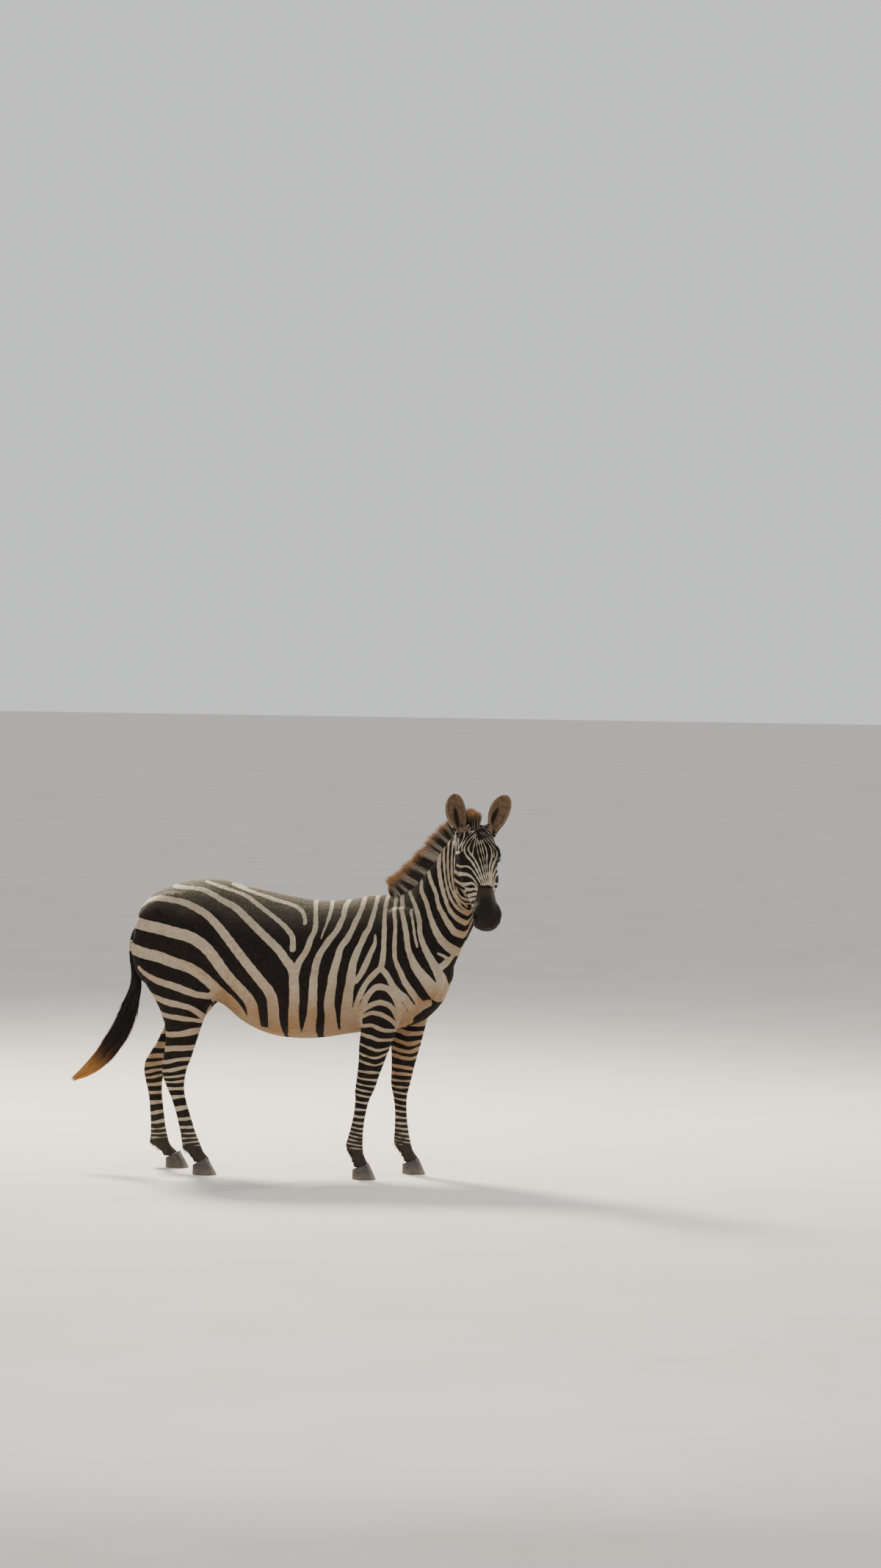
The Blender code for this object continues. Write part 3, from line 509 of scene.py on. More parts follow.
def earForm(side):
    rows, steps = earSet["rows"], earSet["steps"]
    sheet = earSheet(side, rows, steps)
    points = np.concatenate((sheet[:, :, 0].reshape(-1, 3), sheet[:, :, 1].reshape(-1, 3)))
    total = rows * steps
    faces = []
    for i in range(rows - 1):
        for j in range(steps - 1):
            a = i * steps + j
            faces.append((a, a + 1, a + 1 + steps, a + steps))
            faces.append((total + a, total + a + steps, total + a + 1 + steps, total + a + 1))
        for j in (0, steps - 1):
            a = i * steps + j
            faces.append((a, a + steps, total + a + steps, total + a))
    for row in (0, rows - 1):
        for j in range(steps - 1):
            a = row * steps + j
            faces.append((a, a + 1, total + a + 1, total + a))
    return newPiece("earForm", points, faces)


# one shell from the forms
def baked(piece):
    bpy.context.view_layer.update()
    graph = bpy.context.evaluated_depsgraph_get()
    mesh = bpy.data.meshes.new_from_object(piece.evaluated_get(graph))
    piece.modifiers.clear()
    piece.data = mesh
    return piece


def drop(piece):
    bpy.data.objects.remove(piece, do_unlink=True)


def joinedForms(name, forms):
    points = []
    faces = []
    for form in forms:
        start = len(points)
        points.extend(tuple(v.co) for v in form.data.vertices)
        faces.extend(tuple(start + i for i in p.vertices) for p in form.data.polygons)
    for form in forms:
        drop(form)
    mesh = bpy.data.meshes.new(name)
    mesh.from_pydata(points, [], faces)
    return newObject(name, mesh)


def relax(piece, rounds, soft, inward=-0.50):
    mesh = piece.data
    points = pointsOf(piece)
    count = len(points)
    edges = np.empty(len(mesh.edges) * 2, dtype=np.int64)
    mesh.edges.foreach_get("vertices", edges)
    a, b = edges.reshape(-1, 2).T
    valence = np.maximum(np.bincount(np.concatenate((a, b)), minlength=count), 1)[:, None]
    share = soft(points)[:, None]
    for step in range(rounds * 2):
        weight = 0.52 if step % 2 == 0 else inward
        total = np.zeros_like(points)
        for axis in range(3):
            total[:, axis] = np.bincount(a, points[b, axis], count) + np.bincount(b, points[a, axis], count)
        points += (total / valence - points) * weight * share
    setPoints(piece, points)


def refine(piece, chosen):
    bm = bmesh.new()
    bm.from_mesh(piece.data)
    bm.verts.ensure_lookup_table()
    inside = chosen(pointsOf(piece))
    edges = [e for e in bm.edges if inside[e.verts[0].index] and inside[e.verts[1].index]]
    bmesh.ops.subdivide_edges(bm, edges=edges, cuts=1, use_grid_fill=True)
    bm.to_mesh(piece.data)
    bm.free()


def unite(piece, other):
    step = piece.modifiers.new("unite", "BOOLEAN")
    step.operation = "UNION"
    step.solver = "EXACT"
    step.object = other
    baked(piece)
    drop(other)


earWidths = ([s[0] for s in earSet["shape"]], [s[1] for s in earSet["shape"]])


def earPlace(points, side):
    base, axis, opening, across = earAxes(side)
    local = points - base
    width = earSet["width"]
    return local @ axis / earSet["height"], local @ opening / width, local @ across / width


def onEar(points, side, low, high):
    h, o, c = earPlace(points, side)
    return (h > low) & (h < high) & (np.abs(c) < 0.62) & (np.abs(o) < 0.55)


def isEar(points):
    return onEar(points, -1, 0.10, 1.05) | onEar(points, 1, 0.10, 1.05)


def headEdge(points):
    # below nothing on the head; it turns positive in the crease where the jaw meets the neck
    u, d, w = headPlace(points)
    under = np.interp(
        u, (-0.04, 0.06, 0.12, 0.15, 0.17, 0.19, 0.21, 0.24, 0.27, 0.30, 0.34, 0.41),
        (0.100, 0.105, 0.115, 0.128, 0.150, 0.205, 0.234, 0.252, 0.262, 0.250, 0.200, 0.165))
    wide = np.interp(
        u, (-0.03, 0.00, 0.04, 0.16, 0.24, 0.31, 0.37),
        (0.084, 0.099, 0.105, 0.113, 0.101, 0.087, 0.083))
    return np.maximum(np.maximum(d - under, np.abs(w) - wide), -0.035 - u)


def isHead(points):
    return (points[:, 2] > 1.12) & (headEdge(points) < 0.022)


def nearEye(points):
    u, d, w = headPlace(points)
    away = np.abs(w) - eyeSet["w"]
    return np.sqrt(((u - eyeSet["u"]) * head["stretch"]) ** 2 + (d - eyeSet["d"]) ** 2 + away**2)


skinSet = {
    "voxel": 0.0085,
    "rounds": 11,  # relaxing of the whole shell
    "legRounds": 6,  # after the head and lower legs are made finer
    "earRounds": 5,  # at the roots of the ears
    "faceRounds": 5,
    "fineRounds": 4,  # muzzle and lids
    "coatBody": 0.0040,  # depth of the coat over the skin
    "coatLegs": 0.0022,
    "coatHead": 0.0016,
    "coatEar": 0.0008,
    "coatMuzzle": 0.0006,
}


def buildSkin():
    forms = [trunkForm(), neckForm(), *headForms(), *muscleForms()]
    forms += [limbForm(name, leg) for name, leg in legs.items()]
    skin = joinedForms("skin", forms)
    shell = skin.modifiers.new("shell", "REMESH")
    shell.mode = "VOXEL"
    shell.voxel_size = skinSet["voxel"]
    baked(skin)

    def firmness(p):
        return np.where(isHead(p), 0.45, np.where(p[:, 2] < 0.62, 0.6, 1.0))

    relax(skin, skinSet["rounds"], firmness)
    refine(skin, lambda p: isHead(p) | (p[:, 2] < 0.56))
    relax(skin, skinSet["legRounds"], lambda p: np.where(isHead(p) | (p[:, 2] < 0.58), 0.8, 0.0))
    unite(skin, tailDock())
    for side in (-1, 1):
        unite(skin, earForm(side))

    def earFoot(p):
        near = np.zeros(len(p))
        for side in (-1, 1):
            base, axis = earAxes(side)[:2]
            away = np.linalg.norm(p - base - axis * 0.012, axis=1)
            near = np.maximum(near, 1 - smooth(away, 0.022, 0.045))
        return near

    relax(skin, skinSet["earRounds"], earFoot)

    def face(p):
        u = headPlace(p)[0]
        return isHead(p) & (u > 0.02) & (p @ upward < 1.66)

    refine(skin, face)
    relax(skin, skinSet["faceRounds"], lambda p: np.where(face(p), 0.8, 0.0))

    def fine(p):
        u, d = headPlace(p)[:2]
        muzzle = (u > 0.415) & (u < 0.56) & (d < 0.16) & isHead(p)
        return (nearEye(p) < 0.040) | muzzle

    refine(skin, fine)
    relax(skin, skinSet["fineRounds"], lambda p: np.where(fine(p), 0.8, 0.0))
    refine(skin, lambda p: nearEye(p) < 0.032)
    return skin


# modelling of the skin
# middle in the head's measures, reach along, below and across, height
headRelief = [
    (0.108, 0.034, 0.086, 0.020, 0.012, 0.030, -0.0050),  # hollow above the eye
    (0.150, 0.020, 0.086, 0.030, 0.009, 0.030, 0.0030),  # brow
    (0.045, 0.028, 0.078, 0.030, 0.025, 0.030, 0.0030),  # temple
    (0.125, 0.150, 0.068, 0.065, 0.055, 0.040, 0.0045),  # round of the jaw
    (0.225, 0.118, 0.058, 0.055, 0.022, 0.040, -0.0030),
    (0.218, 0.180, 0.056, 0.050, 0.044, 0.050, 0.0150),  # angle of the jaw
    (0.300, 0.052, 0.058, 0.055, 0.016, 0.030, -0.0045),  # hollow beside the nose bone
    (0.260, 0.010, 0.030, 0.120, 0.010, 0.014, 0.0015),
    (0.440, 0.030, 0.052, 0.020, 0.016, 0.020, 0.0030),  # above the nostril
    (0.445, 0.080, 0.053, 0.025, 0.012, 0.020, -0.0025),
    (0.500, 0.100, 0.034, 0.020, 0.009, 0.050, 0.0030),  # upper lip
    (0.470, 0.122, 0.034, 0.025, 0.008, 0.050, 0.0025),  # lower lip
    (0.420, 0.112, 0.046, 0.014, 0.012, 0.020, -0.0030),  # corner of the mouth
]
# two ends, width, height; on both sides
bodyRelief = [
    ((0.400, 1.235), (0.560, 0.990), 0.022, 0.0035),  # spine of the shoulder blade
    ((0.300, 1.150), (0.390, 0.900), 0.030, -0.0050),  # behind the shoulder
    ((0.540, 1.180), (0.660, 0.960), 0.020, -0.0035),
    ((0.350, 0.830), (0.420, 0.700), 0.022, 0.0030),  # elbow
    ((-0.215, 0.760), (-0.300, 1.000), 0.026, -0.0060),  # flank
    ((-0.600, 1.200), (-0.560, 0.800), 0.022, -0.0045),  # between the thigh's muscles
    ((-0.345, 1.270), (-0.325, 1.235), 0.035, 0.0050),  # point of the hip
    ((-0.415, 0.880), (-0.385, 0.820), 0.035, 0.0045),  # stifle
    ((-0.470, 1.180), (-0.420, 0.940), 0.045, 0.0035),
    ((0.655, 1.190), (0.800, 1.290), 0.016, -0.0040),  # groove of the throat
    ((0.560, 1.300), (0.740, 1.500), 0.040, 0.0030),
]
# creases of loose skin behind the jaw, on the side that the head turns to
creases = [
    ((0.760, 1.540), (0.745, 1.330), 0.0050, -0.0030),
    ((0.738, 1.530), (0.728, 1.350), 0.0050, -0.0025),
    ((0.712, 1.500), (0.712, 1.380), 0.0060, -0.0020),
]
mouth = {"from": 0.424, "depth": 0.0046, "width": 0.0022}
nostril = {
    "place": (0.486, 0.050, 0.047), "long": 0.0185, "wide": 0.0085, "deep": 0.0130, "tilt": 38.0,
    "rim": 0.0034,  # height of the raised rim
}
lid = {
    "half": 0.0185, "upper": 0.0112, "lower": 0.0075, "thick": 0.0022, "sink": 0.0040,
    "fold": (0.0016, 0.0075, 0.0022),  # depth, distance from the slit and width
}
breastGroove = {"depth": 0.0070, "width": 0.020}
# on the lower legs: height of the form, place in front of the middle, width
legRelief = {"tendon": (-0.0032, -0.010, 0.006), "ergot": (0.0050, -0.036, 0.010), "crown": 0.0022}


def segmentDistance(points, a, b):
    a = np.asarray(a, float)
    run = np.asarray(b, float) - a
    t = np.clip(((points - a) @ run) / max(run @ run, 1e-12), 0, 1)
    return np.linalg.norm(points - a - t[:, None] * run, axis=1)


def modelHead(points, normals):
    u, d, w = headPlace(points)
    on = isHead(points).astype(float)
    away = np.zeros(len(points))
    for pu, pd, pw, ru, rd, rw, high in headRelief:
        away += high * np.exp(-((u - pu) / ru) ** 2 - ((d - pd) / rd) ** 2 - ((np.abs(w) - pw) / rw) ** 2)
    mouthLine = 0.1045 + 0.09 * (0.540 - u) + 0.002 * np.sin(u * 60)
    reach = smooth(u, mouth["from"] - 0.008, mouth["from"] + 0.012)
    away -= mouth["depth"] * hump(d, mouthLine, mouth["width"]) * reach
    pu, pd, pw = nostril["place"]
    c, s = math.cos(math.radians(nostril["tilt"])), math.sin(math.radians(nostril["tilt"]))
    du = (u - pu) * head["stretch"]
    dd = d - pd
    along = du * c + dd * s
    across = -du * s + dd * c - 6.0 * along**2
    ring = np.sqrt((along / nostril["long"]) ** 2 + (across / nostril["wide"]) ** 2)
    side = smooth(np.abs(w), 0.014, 0.024)
    away -= nostril["deep"] * (1 - smooth(ring, 0.45, 1.0)) * side
    away += nostril["rim"] * hump(ring, 1.35, 0.40) * side
    points = points + normals * (away * on)[:, None]
    return modelLids(points)


def lidAxes(side):
    # outward, along the slit towards the nose, and up
    out = unit(leftLine * side * 0.955 + forward * 0.22 + upward * 0.16)
    slit = faceLine * 0.97 + underLine * 0.10
    slit = unit(slit - out * (slit @ out))
    rise = np.cross(slit, out) * side
    return out, slit, rise if rise @ upward > 0 else -rise


def lidPlace(points, side):
    out, slit, rise = lidAxes(side)
    local = points - inHead(eyeSet["u"], eyeSet["d"], side * eyeSet["w"])
    return local @ out, local @ slit, local @ rise


def lidEdge(a):
    gape = np.clip(1 - (a / lid["half"]) ** 2, 0, 1) ** 0.75
    return lid["upper"] * gape, -lid["lower"] * gape


def modelLids(points):
    points = points.copy()
    for side in (-1, 1):
        o, a, b = lidPlace(points, side)
        high, low = lidEdge(a)
        middle = (high + low) / 2
        half = np.maximum((high - low) / 2, 1e-5)
        off = np.abs(b - middle) - half  # below nothing inside the slit
        off = np.where(np.abs(a) > lid["half"], np.hypot(np.abs(a) - lid["half"], b), off)
        size = np.sqrt(o**2 + a**2 + b**2)
        near = (size < 0.048) & (o > 0)
        globe = np.sqrt(np.maximum(eyeSet["radius"] ** 2 - a**2 - b**2, 0))
        # the lids wrap the ball and thin to a rounded rim
        rim = globe + lid["thick"] * (1 - 0.45 * np.exp(-off / 0.0018))
        deep, apart, width = lid["fold"]
        rim = rim - deep * hump(off, apart, width) * (b > 0)
        hold = 1 - smooth(np.hypot(a, b), 0.017, 0.030)
        raised = np.maximum(o, rim) * hold + o * (1 - hold)
        sunk = np.minimum(o, globe - lid["sink"])
        target = np.where(off > 0, raised, sunk)
        move = np.where(near, target - o, 0.0)
        points += lidAxes(side)[0] * move[:, None]
    return points


def modelBody(points, normals):
    flat = points[:, [0, 2]]
    away = np.zeros(len(points))
    for a, b, wide, high in bodyRelief:
        away += high * np.exp(-(segmentDistance(flat, a, b) / wide) ** 2)
    side = smooth(np.abs(points[:, 1]), 0.03, 0.10)
    turned = (points[:, 1] < 0).astype(float) * smooth(points[:, 2], 1.25, 1.36)
    folds = np.zeros(len(points))
    for a, b, wide, high in creases:
        folds += high * np.exp(-(segmentDistance(flat, a, b) / wide) ** 2)
    groove = -breastGroove["depth"] * np.exp(-(points[:, 1] / breastGroove["width"]) ** 2)
    breast = groove * smooth(points[:, 0], 0.60, 0.68)
    off = (~isHead(points)).astype(float)
    return points + normals * ((away * side + folds * turned + breast) * off)[:, None]


def modelLegs(points, normals):
    away = np.zeros(len(points))
    for name in legs:
        near, middle = legPlace(points, name)
        x = points[:, 0] - middle[:, 0]
        z = points[:, 2]
        cannon = smooth(z, 0.15, 0.20) * (1 - smooth(z, 0.33, 0.38))
        high, ahead, width = legRelief["tendon"]
        tendon = high * hump(x, ahead, width) * cannon
        high, ahead, width = legRelief["ergot"]
        ergot = high * np.exp(-((x - ahead) / width) ** 2 - ((z - 0.118) / 0.012) ** 2)
        crown = legRelief["crown"] * np.exp(-((z - 0.075 + 0.55 * (x + 0.010)) / 0.008) ** 2)
        away += np.where(near, tendon + ergot + crown, 0)
    return points + normals * away[:, None]


def legPlace(points, name):
    joints = np.array(legs[name]["joints"])
    order = np.argsort(joints[:, 2])
    heights = joints[order, 2]
    middle = np.stack([np.interp(points[:, 2], heights, joints[order, i]) for i in range(3)], axis=1)
    fore = name.startswith("fore")
    near = (points[:, 1] * sideOf(name) > 0.01) & ((points[:, 0] > 0.1) == fore) & (points[:, 2] < 0.86)
    return near, middle


# where each finish lies
def bareLeather(points):
    u, d, w = headPlace(points)
    a = np.abs(w) + np.maximum(d, 0)
    edge = 0.338 + 0.85 * np.maximum(a - 0.045, 0)
    edge = np.minimum(edge, 0.425) + 0.005 * np.sin(a * 90)
    muzzle = smooth(u, edge, edge + 0.012)
    lids = 1 - smooth(nearEye(points), 0.0225, 0.0275)
    return np.where(isHead(points), np.maximum(muzzle, lids), 0)


def coatDepth(points):
    blend = smooth(points[:, 2], 0.50, 0.80)
    depth = skinSet["coatLegs"] + (skinSet["coatBody"] - skinSet["coatLegs"]) * blend
    for weight, own in (
        (1 - smooth(headEdge(points), -0.01, 0.04), "coatHead"), (bareLeather(points), "coatMuzzle"),
        (isEar(points), "coatEar"),
    ):
        depth = depth + (skinSet[own] - depth) * weight
    return depth


print("building the skin")
skin = buildSkin()
print("  shell:", len(skin.data.polygons), "faces")
points = pointsOf(skin)
normals = normalsOf(skin)
depth = coatDepth(points)
setPoints(skin, points - normals * depth[:, None])
points = pointsOf(skin)
normals = normalsOf(skin)
points = modelBody(points, normals)
points = modelLegs(points, normals)
points = modelHead(points, normals)
setPoints(skin, points)


# the coat's markings: pale strokes on a dark ground
# half widths at the start, middle and end, then places along the side: length and height, all in mm
sideStrokes = [
    # hindquarter, from the croup round to the stifle
    ((8, 18, 28), [(-710, 1225), (-670, 1258), (-600, 1274), (-520, 1268), (-440, 1245), (-370, 1210),
        (-320, 1165), (-280, 1120), (-190, 1010), (-100, 905), (-65, 860), (-50, 800), (-55, 660)]),
    ((26, 26, 30), [(-760, 1165), (-650, 1150), (-500, 1120), (-430, 1100), (-380, 1070), (-340, 1030),
        (-270, 935), (-190, 850), (-160, 810), (-150, 760), (-160, 660)]),
    ((26, 24, 22), [(-770, 1045), (-650, 1020), (-580, 1005), (-500, 980), (-440, 960), (-390, 930),
        (-310, 855), (-230, 780), (-200, 700)]),
    ((8, 17, 14), [(-690, 955), (-660, 930), (-600, 900), (-530, 880), (-470, 860), (-410, 840),
        (-360, 830)]),
    ((12, 15, 12), [(-660, 835), (-610, 820), (-550, 800), (-490, 790), (-430, 770), (-380, 730)]),
    ((10, 12, 8), [(-630, 765), (-570, 740), (-510, 730), (-430, 720), (-370, 705)]),
    ((14, 26, 20), [(-345, 840), (-320, 810), (-280, 765), (-210, 700)]),
    # loin
    ((7, 18, 26), [(-550, 1326), (-420, 1320), (-350, 1298), (-300, 1270), (-240, 1240), (-190, 1200),
        (-120, 1140), (-30, 1060), (10, 1010), (40, 970), (50, 920), (50, 830), (40, 710), (30, 620)]),
    ((8, 13, 16), [(105, 1290), (125, 1230), (135, 1160), (120, 1110), (100, 1050), (70, 1000),
        (55, 940)]),
    ((5, 9, 14), [(-400, 1352), (-290, 1322), (-200, 1290), (-150, 1260), (-90, 1222), (-30, 1180),
        (10, 1145), (35, 1110), (40, 1060)]),
    ((5, 7, 9), [(-280, 1342), (-190, 1312), (-90, 1282), (10, 1255), (60, 1230), (80, 1200),
        (85, 1175)]),
    # barrel
    ((9, 8, 3), [(170, 1300), (195, 1250), (190, 1200), (180, 1160), (165, 1110)]),
    ((11, 15, 27), [(280, 1310), (260, 1250), (255, 1200), (230, 1140), (200, 1100), (170, 1050),
        (150, 1000), (140, 920), (135, 840), (130, 770), (110, 700), (90, 620)]),
    ((10, 15, 28), [(340, 1320), (340, 1260), (330, 1220), (310, 1170), (290, 1120), (260, 1075),
        (245, 1020), (230, 960), (220, 890), (210, 820), (210, 750), (200, 640)]),
    ((9, 15, 28), [(400, 1320), (400, 1250), (390, 1200), (380, 1160), (360, 1120), (340, 1070),
        (320, 1020), (310, 960), (300, 890), (290, 820), (280, 750), (280, 650)]),
    ((5, 14, 12), [(410, 1130), (410, 1090), (390, 1040), (370, 990), (350, 950), (330, 920)]),
    # shoulder and its arches
    ((8, 11, 13), [(450, 1330), (445, 1240), (450, 1170), (450, 1110), (450, 1040), (440, 980)]),
    ((13, 12, 10), [(440, 980), (410, 950), (375, 910), (350, 860), (330, 810), (320, 760), (320, 680)]),
    ((13, 13, 18), [(440, 980), (465, 950), (490, 910), (515, 875), (550, 840), (580, 790)]),
    ((14, 13, 12), [(440, 895), (410, 885), (380, 850), (360, 810), (340, 760), (340, 720)]),
    ((14, 14, 22), [(440, 895), (480, 880), (510, 840), (530, 800), (550, 740)]),
    ((13, 11, 7), [(440, 822), (410, 815), (370, 790), (340, 750)]),
    ((13, 11, 10), [(440, 822), (480, 810), (510, 770), (525, 715)]),
    ((7, 11, 9), [(340, 745), (400, 772), (450, 765), (490, 740), (520, 700)]),
    ((7, 10, 7), [(330, 705), (400, 715), (450, 695), (520, 690)]),
    ((7, 9, 6), [(330, 675), (400, 660), (440, 648), (520, 648)]),
    ((6, 7, 5), [(320, 635), (400, 607), (430, 600), (500, 615)]),
    ((5, 6, 4), [(320, 590), (390, 568), (430, 566), (490, 595)]),
    ((5, 5, 4), [(320, 555), (400, 533), (430, 533), (480, 555)]),
    # neck and breast
    ((8, 10, 16), [(480, 1330), (490, 1240), (500, 1170), (500, 1110), (500, 1040), (510, 1000),
        (530, 960), (550, 915), (580, 870), (620, 810)]),
    ((9, 13, 34), [(500, 1350), (520, 1260), (535, 1210), (550, 1140), (560, 1070), (580, 1020),
        (600, 980), (640, 930), (670, 890), (700, 850)]),
    ((8, 10, 22), [(510, 1380), (540, 1330), (565, 1290), (590, 1240), (605, 1190), (610, 1140),
        (625, 1090), (650, 1040), (680, 990), (705, 940), (715, 890)]),
    ((6, 6, 4), [(565, 1240), (580, 1180), (590, 1120), (600, 1075)]),
    ((7, 10, 22), [(530, 1430), (570, 1405), (600, 1370), (605, 1330), (630, 1280), (650, 1220),
        (670, 1170), (700, 1115), (730, 1080), (765, 1050)]),
    ((8, 10, 18), [(600, 1480), (630, 1420), (650, 1370), (675, 1320), (690, 1265), (720, 1210),
        (745, 1170), (770, 1140), (820, 1120)]),
    ((13, 8, 14), [(655, 1560), (680, 1500), (685, 1440), (700, 1360), (720, 1295), (740, 1245),
        (770, 1210), (800, 1190), (850, 1175)]),
    ((6, 5, 8), [(700, 1600), (705, 1540), (710, 1460), (720, 1380), (740, 1310), (770, 1260),
        (810, 1230), (860, 1205)]),
    ((5, 5, 6), [(730, 1600), (730, 1540), (730, 1440), (740, 1365), (760, 1315), (790, 1265),
        (830, 1235), (870, 1225)]),
    ((4, 5, 5), [(755, 1560), (750, 1500), (750, 1410), (760, 1350), (780, 1300), (820, 1260)]),
    ((4, 4, 5), [(775, 1560), (770, 1500), (770, 1420), (780, 1360), (810, 1310), (860, 1270)]),
    ((4, 6, 8), [(690, 1045), (715, 1032), (740, 1015)]),
    ((16, 10, 4), [(710, 985), (745, 1020), (775, 1055)]),
    ((14, 20, 16), [(560, 755), (600, 790), (650, 815)]),
]
# half widths in tenths of a mm, then places in mm: down the face, and out from its middle to the left
faceStrokes = [
    # forehead to nose, from the right side to the left
    ((12, 20, 14), [(18, -50), (24, -80), (14, -140), (4, -180)]),
    ((16, 24, 20), [(-30, -40), (17, -52), (32, -85), (49, -108), (81, -117), (108, -124)]),
    ((16, 36, 20), [(-25, -30), (18, -46), (36, -60), (63, -66), (84, -81), (102, -97), (130, -103)]),
    ((10, 16, 10), [(-10, -16), (22, -34), (40, -42)]),
    ((10, 14, 10), [(32, -8), (37, -30), (50, -44)]),
    ((12, 22, 22), [(25, -4), (54, -36), (72, -55), (93, -70), (110, -79), (142, -87)]),
    ((12, 32, 28), [(48, -9), (66, -28), (86, -48), (111, -66), (136, -74), (156, -73), (175, -63),
        (206, -47), (240, -35), (272, -26), (305, -17), (332, -11)]),
    ((12, 32, 26), [(62, -11), (90, -35), (113, -47), (131, -56), (156, -52), (182, -39), (218, -26),
        (253, -18), (289, -11), (332, -3)]),
    ((12, 26, 20), [(79, -16), (120, -30), (147, -37), (172, -43)]),
    ((12, 26, 24), [(79, -8), (117, -17), (149, -17), (180, -14), (211, -8), (250, -3), (285, 0),
        (330, 5)]),
    ((12, 22, 20), [(95, -6), (145, -3), (180, 2), (219, 5), (258, 8), (330, 13)]),
    ((10, 16, 14), [(90, 3), (149, 9), (184, 12), (226, 13), (275, 14)]),
    ((12, 26, 28), [(90, 12), (137, 24), (168, 26), (203, 21), (234, 19), (273, 20), (330, 20)]),
    ((14, 32, 44), [(76, 17), (102, 36), (121, 46), (144, 51), (175, 50), (204, 41), (233, 31), (273, 28),
        (332, 28)]),
    ((12, 24, 16), [(130, 58), (149, 64), (177, 60)]),
    ((14, 30, 50), [(46, 10), (69, 31), (96, 49), (123, 68), (149, 78), (170, 75), (194, 63), (226, 47),
        (259, 37), (298, 36), (330, 38)]),
    ((12, 20, 16), [(30, 6), (44, 26), (66, 46), (85, 66), (112, 84)]),
    ((12, 20, 20), [(14, 10), (19, 33), (35, 52), (54, 76), (75, 100), (105, 112)]),
    ((12, 18, 14), [(-6, 20), (11, 38), (20, 59), (31, 90), (40, 120)]),
    ((20, 30, 34), [(168, 100), (183, 81), (215, 58), (245, 47), (284, 46)]),
]
# the same on both cheeks
cheekStrokes = [
    ((70, 70, 50), [(196, 252), (215, 235), (262, 180), (289, 139), (298, 92), (317, 63), (341, 48)]),
    ((30, 62, 50), [(236, 256), (265, 215), (300, 155), (324, 109), (338, 68), (351, 50)]),
    ((30, 78, 70), [(252, 258), (290, 210), (332, 152), (359, 84), (369, 56)]),
    ((30, 70, 60), [(268, 262), (300, 225), (345, 165), (380, 96), (388, 60)]),
    ((30, 60, 60), [(285, 262), (330, 215), (380, 150), (410, 110)]),
    ((26, 42, 36), [(188, 262), (208, 268), (230, 263), (255, 262), (285, 266), (330, 262)]),
    ((20, 30, 24), [(60, 140), (85, 152), (112, 160)]),
    ((50, 90, 60), [(100, 170), (118, 142), (137, 113), (146, 100)]),  # above the eye
]
rightCheek = [
    ((56, 44, 26), [(160, 184), (199, 130), (211, 96), (223, 72), (243, 53), (277, 38), (307, 27),
        (331, 20)]),
    ((86, 82, 36), [(176, 218), (204, 186), (240, 126), (253, 97), (272, 73), (300, 53), (331, 40)]),
]
leftCheek = [
    ((56, 60, 36), [(134, 262), (166, 186), (200, 134), (219, 104), (230, 83), (262, 60), (294, 52),
        (320, 54)]),
    ((76, 70, 46), [(150, 292), (180, 222), (210, 180), (236, 130), (266, 90), (304, 62)]),
]
faceStrokes += cheekStrokes + leftCheek
faceStrokes += [(widths, [(u, -a) for u, a in places]) for widths, places in cheekStrokes + rightCheek]
# heights in mm and half widths in tenths of a mm of the pale rings on the legs
ringSets = {
    "fore": [(499, 48), (468, 46), (440, 40), (413, 44), (385, 48), (352, 50), (320, 48), (291, 46),
             (264, 44), (240, 40), (218, 36), (197, 32), (177, 28), (158, 24), (140, 20)],
    "hind": [(655, 135), (583, 135), (526, 80), (487, 75), (455, 50), (430, 50), (396, 75), (355, 80),
             (306, 88), (260, 65), (220, 62), (189, 36), (166, 34), (146, 30), (128, 22)],
}
markSet = {
    "far": 0.2,  # distance that stands for no band near
    "ringTop": {"fore": 0.515, "hind": 0.690},  # the rings on the legs end here
    "under": 0.006,  # how much the pale bands widen on undersides
    "inner": 0.0035,  # and on the inner faces of the legs
    "backLine": 0.010, "bellyLine": 0.012, "jawLine": 0.0030,  # half widths of dark lines
    "throatLines": (0.0075, 0.0190), "throatHalf": 0.0032,  # pale lines behind the jaw
    "neckShift": 0.20,
}


def strokeField(strokes, low, high, step, perWidth):
    size = [int((high[i] - low[i]) / step) + 1 for i in (0, 1)]
    xs = low[0] + np.arange(size[0]) * step
    ys = low[1] + np.arange(size[1]) * step
    field = np.full(size, markSet["far"])
    for widths, places in strokes:
        places = np.array(places) / 1000
        count = len(places)
        fineness = (count - 1) * 6 + 1
        line = spline(range(count), places, np.linspace(0, count - 1, fineness))
        wide = np.interp(np.linspace(0, 2, fineness), (0, 1, 2), np.array(widths) / perWidth)
        for a, b, ra, rb in zip(line[:-1], line[1:], wide[:-1], wide[1:]):
            margin = 0.055 + max(ra, rb)
            i0, i1 = np.searchsorted(xs, (min(a[0], b[0]) - margin, max(a[0], b[0]) + margin))
            j0, j1 = np.searchsorted(ys, (min(a[1], b[1]) - margin, max(a[1], b[1]) + margin))
            if i1 <= i0 or j1 <= j0:
                continue
            gx, gy = xs[i0:i1, None] - a[0], ys[None, j0:j1] - a[1]
            run = b - a
            t = np.clip((gx * run[0] + gy * run[1]) / max(run @ run, 1e-9), 0, 1)
            away = np.hypot(gx - t * run[0], gy - t * run[1]) - (ra + (rb - ra) * t)
            field[i0:i1, j0:j1] = np.minimum(field[i0:i1, j0:j1], away)
    return low, step, field


